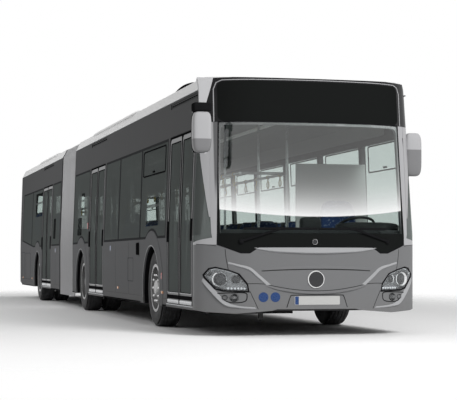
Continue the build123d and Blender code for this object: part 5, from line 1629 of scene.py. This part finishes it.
def seat_shell(surface, x, s, low):
    """Moulded seat shell: one curved sheet under the cushion and behind the back, closed all round."""
    line = smooth_path([(0.020, 0.392), (0.10, 0.385), (0.34, 0.384), (0.405, 0.420), (0.440, 0.52),
                        (0.475, 0.80), (0.503, 1.045)], 5)
    inner = line - path_normals(line, False) * 0.009
    half = SEAT_WIDE / 2 + 0.004 - 0.03 * np.clip((line[:, 1] - 0.75) / 0.3, 0, 1) ** 2
    ring = [place(x + across * half, s + part[:, 0], low + part[:, 1])
            for across, part in ((-1, line), (1, line), (1, inner), (-1, inner))]
    surface.grid(np.stack(ring, 1), close_v=True, cap_u=True)


def space_tube(surface, x, s, z, radius, sides=8, steps=None):
    """Tube through points given by x, station and height; smooth where it has steps."""
    path = place(x, s, z)
    tube(surface, smooth_path(path, steps) if steps else path, radius, sides)


class BUS_OT_seats(bpy.types.Operator):
    """Builds the passenger seats: padded cushions and backs in moulded shells, on their frames"""
    bl_idname = "bus.seats"
    bl_label = "Seats"

    def execute(self, context):
        for car, rows in SEAT_ROWS.items():
            pads, shells, frames = surfaces(3)
            spots = [(side, low, s) for sides, low, stations in rows for s in stations for side in sides]
            for side, low, s in spots:
                middle = side * SEAT_MIDDLE
                for x in (middle - SEAT_PITCH / 2, middle + SEAT_PITCH / 2):
                    pads.grid(cushion(x, s, low), close_v=True)
                    pads.grid(backrest(x, s, low), close_v=True)
                    seat_shell(shells, x, s, low)
                    space_tube(frames, (x - 0.12, x - 0.10, x + 0.10, x + 0.12),
                               s + np.array([0.470, 0.482, 0.482, 0.470]),
                               low + np.array([1.020, 1.048, 1.048, 1.020]), 0.009, steps=5)
                for at in (s + 0.125, s + 0.205):
                    space_tube(frames, (middle - 0.30, middle - 0.28, middle - 0.28), at,
                               (low + 0.012, low + 0.20, low + 0.372), 0.016, steps=4)
                    space_tube(frames, np.linspace(middle - 0.40, middle + 0.40, 4), at, low + 0.374,
                               0.014)
            if car == "front_car":
                pads.box(place(0.740, 1.235, 0.845), (0.220, 0.240, 0.055), 4.0, 14)
                back = superbox((0, 0, 0), (0.220, 0.045, 0.33), 4.0, 18)
                back[..., 1] += back[..., 2] * 0.18
                pads.grid(back + place(0.740, 1.475, 1.215), close_v=True)
                shells.box(place(0.740, 1.16, 0.655), (0.12, 0.13, 0.150))
            node = car.replace("car", "seats")
            piece = pads.build(f"{car}_seat_pads", "cloth", car, "seat", replaces=(node,), sharp=60)
            shells.build(f"{car}_seat_shells", "shell", car, "black_plastic", sharp=50)
            frames.build(f"{car}_seat_frames", "steel", car, "rail")
        return {"FINISHED"}


# x and height of the ceiling's cross-section
CEILING = np.array([(-1.130, 2.30), (-1.120, 2.48), (-0.95, 2.66), (-0.60, 2.80), (0.0, 2.845),
                    (0.60, 2.80), (0.95, 2.66), (1.120, 2.48), (1.130, 2.30)])
STRAP_X, STRAP_RADIUS, STRAP_PITCH = 0.30, 0.045, 0.55
CUFF = [(-0.012, 0.020), (-0.012, 0.026), (0.012, 0.026), (0.012, 0.020)]


class BUS_OT_cabin(bpy.types.Operator):
    """Adds the ceiling panels, light strips, hangers, the dashboard's hoods and the sign's box"""
    bl_idname = "bus.cabin"
    bl_label = "Cabin"

    def execute(self, context):
        loop = circle_path(0, 0, STRAP_RADIUS, 16)
        for car, s0, s1 in (("front_car", 0.95, 9.62), ("rear_car", 11.38, 17.70)):
            lining, strips, straps = surfaces(3)
            ring = np.vstack([CEILING, (CEILING * (0.995, 1) - (0, 0.006))[::-1]])
            lining.grid(place(ring[:, 0], np.linspace(s0, s1, 3)[:, None], ring[:, 1]), close_v=True,
                        cap_u=True)
            for side in (-1, 1):
                strips.box(place(side * 0.76, (s0 + s1) / 2, 2.725), (0.055, (s1 - s0) / 2 - 0.2, 0.012),
                           6.0, 8, 16)
                for at in np.arange(s0 + 1.5, s1 - 0.5, STRAP_PITCH):
                    x = side * STRAP_X
                    straps.turn(CUFF, place(x, at, 1.90), (0, 1, 0), 14, close_u=True)
                    tube(straps, place(x, at + loop[:, 0], 1.80 + loop[:, 1]), 0.007, 6, closed=True)
                    space_tube(straps, x, at, (1.884, 1.868, 1.846), 0.008, 6)
            lining.build(f"{car}_ceiling", "lining", car, "roof", sharp=20)
            strips.build(f"{car}_light_strips", "light", car, "lamp")
            straps.build(f"{car}_hangers", "yellow", car, "rail")
        dash, sign = surfaces(2)
        dash.box(place(0.75, 0.50, 1.20), (0.37, 0.12, 0.060), 3.5, 14)
        dash.box(place(0.10, 0.58, 1.225), (0.12, 0.05, 0.09))
        dash.build("dashboard_hood", "plastic", "front_car", "black_plastic", sharp=60)
        sign.box(place(0.0, 0.46, 2.60), (1.00, 0.13, 0.235), 8.0, 12)
        sign.build("sign_box", "trim", "front_car", "black_plastic")
        return {"FINISHED"}


# ---------------------------------------------------------------- roof and rear end
# car: first and last station, half width and top of its roof units
UNITS = {"front_car": ((3.30, 4.30, 0.600, 3.062), (7.40, 9.10, 0.700, 3.058)),
         "rear_car": ((11.90, 13.10, 0.600, 3.052), (14.40, 16.40, 0.640, 3.062),
                      (16.90, 17.80, 0.820, 3.030))}
FAIRINGS = {"front_car": (4.5, 8.3), "rear_car": (12.6, 15.4)}
FAN_RADIUS = 0.255


def roof_unit(dark, bolts, s0, s1, half, top):
    """Seam, bolts and, on a long unit, two fan grilles on the top of a roof unit."""
    def flat(a, b, out):
        return place(a, b, top + out - 0.0002)

    seam = rounded(-half + 0.06, half - 0.06, s0 + 0.06, s1 - 0.06, 0.03)
    strip(dark, flat, seam, 0.006, -0.002, 0.001, closed=True)
    for middle in (s0 + 0.45, s1 - 0.45) if s1 - s0 > 1.1 else ():
        for radius in (FAN_RADIUS, 0.19, 0.125, 0.06):
            strip(dark, flat, circle_path(0, middle, radius, 40), 0.012, -0.002, 0.004, closed=True)
        for turn in np.linspace(0, pi, 6, endpoint=False):
            reach = FAN_RADIUS * np.array([cos(turn), sin(turn)])
            strip(dark, flat, [(0, middle) - reach, (0, middle) + reach], 0.008, -0.002, 0.003)
    for a in (-half + 0.09, half - 0.09):
        for b in np.linspace(s0 + 0.1, s1 - 0.1, 5):
            bolts.turn([(0.0, 0.012), (0.005, 0.011), (0.007, 0.006), (0.007, 0.0)],
                       place(a, b, top - 0.0005), (0, 0, 1), 10)


class BUS_OT_roof_gear(bpy.types.Operator):
    """Adds the grilles, seams and bolts of the roof units and the fairings along the roof edge"""
    bl_idname = "bus.roof_gear"
    bl_label = "Roof Gear"

    def execute(self, context):
        for car, units in UNITS.items():
            dark, light, bolts = surfaces(3)
            for unit_row in units:
                roof_unit(dark, bolts, *unit_row)
            s0, s1 = FAIRINGS[car]
            along = np.linspace(s0, s1, 30)[:, None]
            swell = 0.2 + 0.8 * np.clip(np.minimum(along - s0, s1 - along) / 0.25, 0, 1) ** 0.5
            x, z = circle_path(0, 0, 1.0, 14).T * ((0.070,), (0.030,))
            light.grid(place(-1.095 + x * swell, along, 2.868 + (z + x * 0.45) * swell), close_v=True,
                       cap_u=True)
            bar(dark, roof_map, (-1.130, s0 + 0.05), (-1.130, s1 - 0.05), 0.4, 0.022, -0.004, 0.004)
            # a raised flap on the front roof's door-side edge, in black trim: its black is painted
            # shade, the shaded edge of a roof hatch
            if car == "front_car":
                arc = np.linspace(0, 1, 24)[:, None]
                lift = 0.004 + 0.030 * np.sin(arc * pi) ** 0.7
                section = -1.118 + np.array([-0.022, 0.0, 0.030, 0.030, -0.022])
                flap = roof_map(section, 1.22 + 0.86 * arc, 0.0)
                flap[..., 2] += lift * (0.0, 1.0, 0.9, -0.2, -0.2)
                dark.grid(flap, close_v=True, cap_u=True)
            dark.build(f"{car}_roof_grilles", "trim", car, "black_plastic")
            light.build(f"{car}_roof_fairing", "roof", car, "roof", sharp=60)
            bolts.build(f"{car}_roof_bolts", "steel", car, "rail")
        return {"FINISHED"}


TAIL_LAMP_X = 1.085
TAIL_LAMP = [(-0.030, 0.0), (-0.030, 0.052), (0.004, 0.052), (0.012, 0.046), (0.018, 0.030),
             (0.020, 0.0)]


class BUS_OT_tail(bpy.types.Operator):
    """Builds the rear lamps, engine flap, grilles, plate and window seal"""
    bl_idname = "bus.tail"
    bl_label = "Rear End"

    def execute(self, context):
        dark, red, amber, white, plate_part = surfaces(5)
        for side in (1, -1):
            x = side * TAIL_LAMP_X
            for z, lens in ((0.64, white), (0.76, amber), (0.88, red), (1.00, red), (1.12, red)):
                lens.turn(TAIL_LAMP, tail_map(x, z, -0.006), (0.45 * side, 0.89, 0.0), 32)
            strip(dark, tail_map, pane_path(x - 0.071, x + 0.071, 0.552, 1.188, 0.03, 0.05),
                  0.012, -0.004, 0.003, closed=True)
        strip(dark, tail_map, pane_path(-0.965, 0.965, 1.490, 2.360, 0.04, 0.1), 0.014, -0.008, 0.0025,
              closed=True)
        strip(dark, tail_map, pane_path(-0.93, 0.93, 0.47, 1.36, 0.05, 0.1), 0.006, -0.003, 0.0015,
              closed=True)
        for z in np.linspace(0.56, 0.90, 13):
            bar(dark, tail_map, (-0.60, z), (0.60, z), 0.1, 0.014, -0.002, 0.006)
        bar(dark, tail_map, (-1.20, 1.42), (1.20, 1.42), 0.05, 0.005, -0.002, 0.0012)
        bar(dark, tail_map, (-1.15, 0.44), (1.15, 0.44), 0.05, 0.006, -0.002, 0.0015)
        plate(plate_part, tail_map, rounded(-0.26, 0.26, 1.06, 1.17, 0.01), -0.001, 0.004, 0.0015)
        dark.build("tail_grilles", "trim", "rear_car", "black_plastic")
        red.build("tail_lenses_red", "red_lens", "rear_car", "tail_lamp")
        amber.build("tail_lenses_amber", "amber_lens", "rear_car", "tail_lamp")
        white.build("tail_lenses_white", "white_lens", "rear_car", "lamp")
        plate_part.build("tail_plate", "plate", "rear_car", "body")
        return {"FINISHED"}


# ---------------------------------------------------------------- stage
CAMERA_AT, CAMERA_YAW, CAMERA_LENS, CAMERA_SHIFT = (-4.813, -23.7285, 0.834), -14.4356, 112.8, 0.131
FLOOR_HALF, FADE_START, FADE_END = 36.0, 4.6, 11.0
# name, place, aim, size, which power of the sidebar, share of it
LAMPS = (("key", (4.0, -22.0, 10.5), (0, -7, 1.5), 7.0, "key", 1.0),
         ("top", (-1.0, -5.0, 16.0), (0, -3, 0), 9.0, "top", 1.0),
         ("rim", (16.0, 10.0, 15.0), (0, 2, 1.2), 9.0, "key", 0.4),
         ("side", (-16.0, 6.0, 13.0), (0, 2, 1.2), 9.0, "key", 0.46))


class BUS_OT_stage(bpy.types.Operator):
    """Lays the pale floor, hangs the soft lights and sets the camera"""
    bl_idname = "bus.stage"
    bl_label = "Floor, Lights and Camera"

    def execute(self, context):
        look = context.scene.stage_look
        world = bpy.data.worlds.new("studio")
        context.scene.world = world
        world.use_nodes = True
        tree = world.node_tree
        background = tree.nodes["Background"]
        background.inputs["Color"].default_value = (1, 1, 1, 1)
        rays = tree.nodes.new("ShaderNodeLightPath")
        shown = rays.outputs["Is Camera Ray"]
        for ray in ("Is Transmission Ray", "Is Glossy Ray"):
            either = tree.nodes.new("ShaderNodeMath")
            either.operation = "MAXIMUM"
            tree.links.new(shown, either.inputs[0])
            tree.links.new(rays.outputs[ray], either.inputs[1])
            shown = either.outputs[0]
        strength = tree.nodes.new("ShaderNodeMapRange")
        strength.inputs["To Min"].default_value = look.ambient
        strength.inputs["To Max"].default_value = 1.0
        tree.links.new(shown, strength.inputs["Value"])
        tree.links.new(strength.outputs[0], background.inputs["Strength"])

        floor = Finish("studio_floor", look.floor_tone, 0.7, **MATT)
        floor.colour(floor.flecked(look.floor_tone, 0.01, 0.6, 3.0))
        x, y, _ = floor.axes()
        edge = floor.math("SQRT", floor.plus(floor.times(x, x), floor.times(floor.times(y, y), 0.4)))
        floor.blend(floor.ramp(edge, FADE_START, FADE_END), floor.shader,
                    floor.node("ShaderNodeBsdfTransparent"))
        ends = np.array([-FLOOR_HALF, FLOOR_HALF])
        x, y = np.meshgrid(ends, ends, indexing="ij")
        ground = Surface()
        ground.grid(np.stack([x, y, 0 * x], -1))
        ground.build("studio_floor", floor.material, None, "floor")

        for name, at, aim, size, setting, share in LAMPS:
            lamp = bpy.data.lights.new(name, "AREA")
            lamp.shape, lamp.size, lamp.energy = "DISK", size, getattr(look, setting) * share
            holder = bpy.data.objects.new(name, lamp)
            context.scene.collection.objects.link(holder)
            holder.location = at
            holder.visible_glossy = False
            holder.rotation_euler = (Vector(aim) - Vector(at)).to_track_quat("-Z", "Y").to_euler()

        lens = bpy.data.cameras.new("camera")
        lens.sensor_width, lens.lens = 36.0, CAMERA_LENS
        lens.shift_y, lens.clip_end = CAMERA_SHIFT, 200.0
        camera = bpy.data.objects.new("camera", lens)
        context.scene.collection.objects.link(camera)
        camera.location = CAMERA_AT
        camera.rotation_euler = (radians(90), 0, radians(CAMERA_YAW))
        context.scene.camera = camera
        context.scene.view_settings.view_transform = "Standard"
        return {"FINISHED"}


class BUS_PT_panel(bpy.types.Panel):
    """Sidebar panel with the colours, the sizes and a button for each group of pieces"""
    bl_idname = "BUS_PT_panel"
    bl_label = "City Bus"
    bl_space_type = "VIEW_3D"
    bl_region_type = "UI"
    bl_category = "City Bus"

    def draw(self, context):
        for group in (context.scene.bus_look, context.scene.bus_sizes, context.scene.stage_look):
            box = self.layout.box()
            for name in group.bl_rna.properties.keys():
                if name not in ("rna_type", "name"):
                    box.prop(group, name)
        for operator in OPERATORS:
            self.layout.operator(operator.bl_idname)


OPERATORS = (
    BUS_OT_dress_frame, BUS_OT_doors, BUS_OT_door_surrounds, BUS_OT_wheels, BUS_OT_headlamps,
    BUS_OT_front_trim, BUS_OT_screen_trim, BUS_OT_wipers, BUS_OT_bellows, BUS_OT_side_windows,
    BUS_OT_side_trim, BUS_OT_side_gear, BUS_OT_mirrors, BUS_OT_seats, BUS_OT_cabin,
    BUS_OT_roof_gear, BUS_OT_tail, BUS_OT_stage)
GROUPS = (BusLook, BusSizes, StageLook)


def register():
    for part in GROUPS + OPERATORS + (BUS_PT_panel,):
        bpy.utils.register_class(part)
    bpy.types.Scene.bus_look = bpy.props.PointerProperty(type=BusLook)
    bpy.types.Scene.bus_sizes = bpy.props.PointerProperty(type=BusSizes)
    bpy.types.Scene.stage_look = bpy.props.PointerProperty(type=StageLook)


def unregister():
    for name in ("bus_look", "bus_sizes", "stage_look"):
        delattr(bpy.types.Scene, name)
    for part in reversed(GROUPS + OPERATORS + (BUS_PT_panel,)):
        bpy.utils.unregister_class(part)


def main():
    register()
    for operator in OPERATORS:
        group, name = operator.bl_idname.split(".")
        getattr(getattr(bpy.ops, group), name)()


if __name__ == "__main__":
    main()
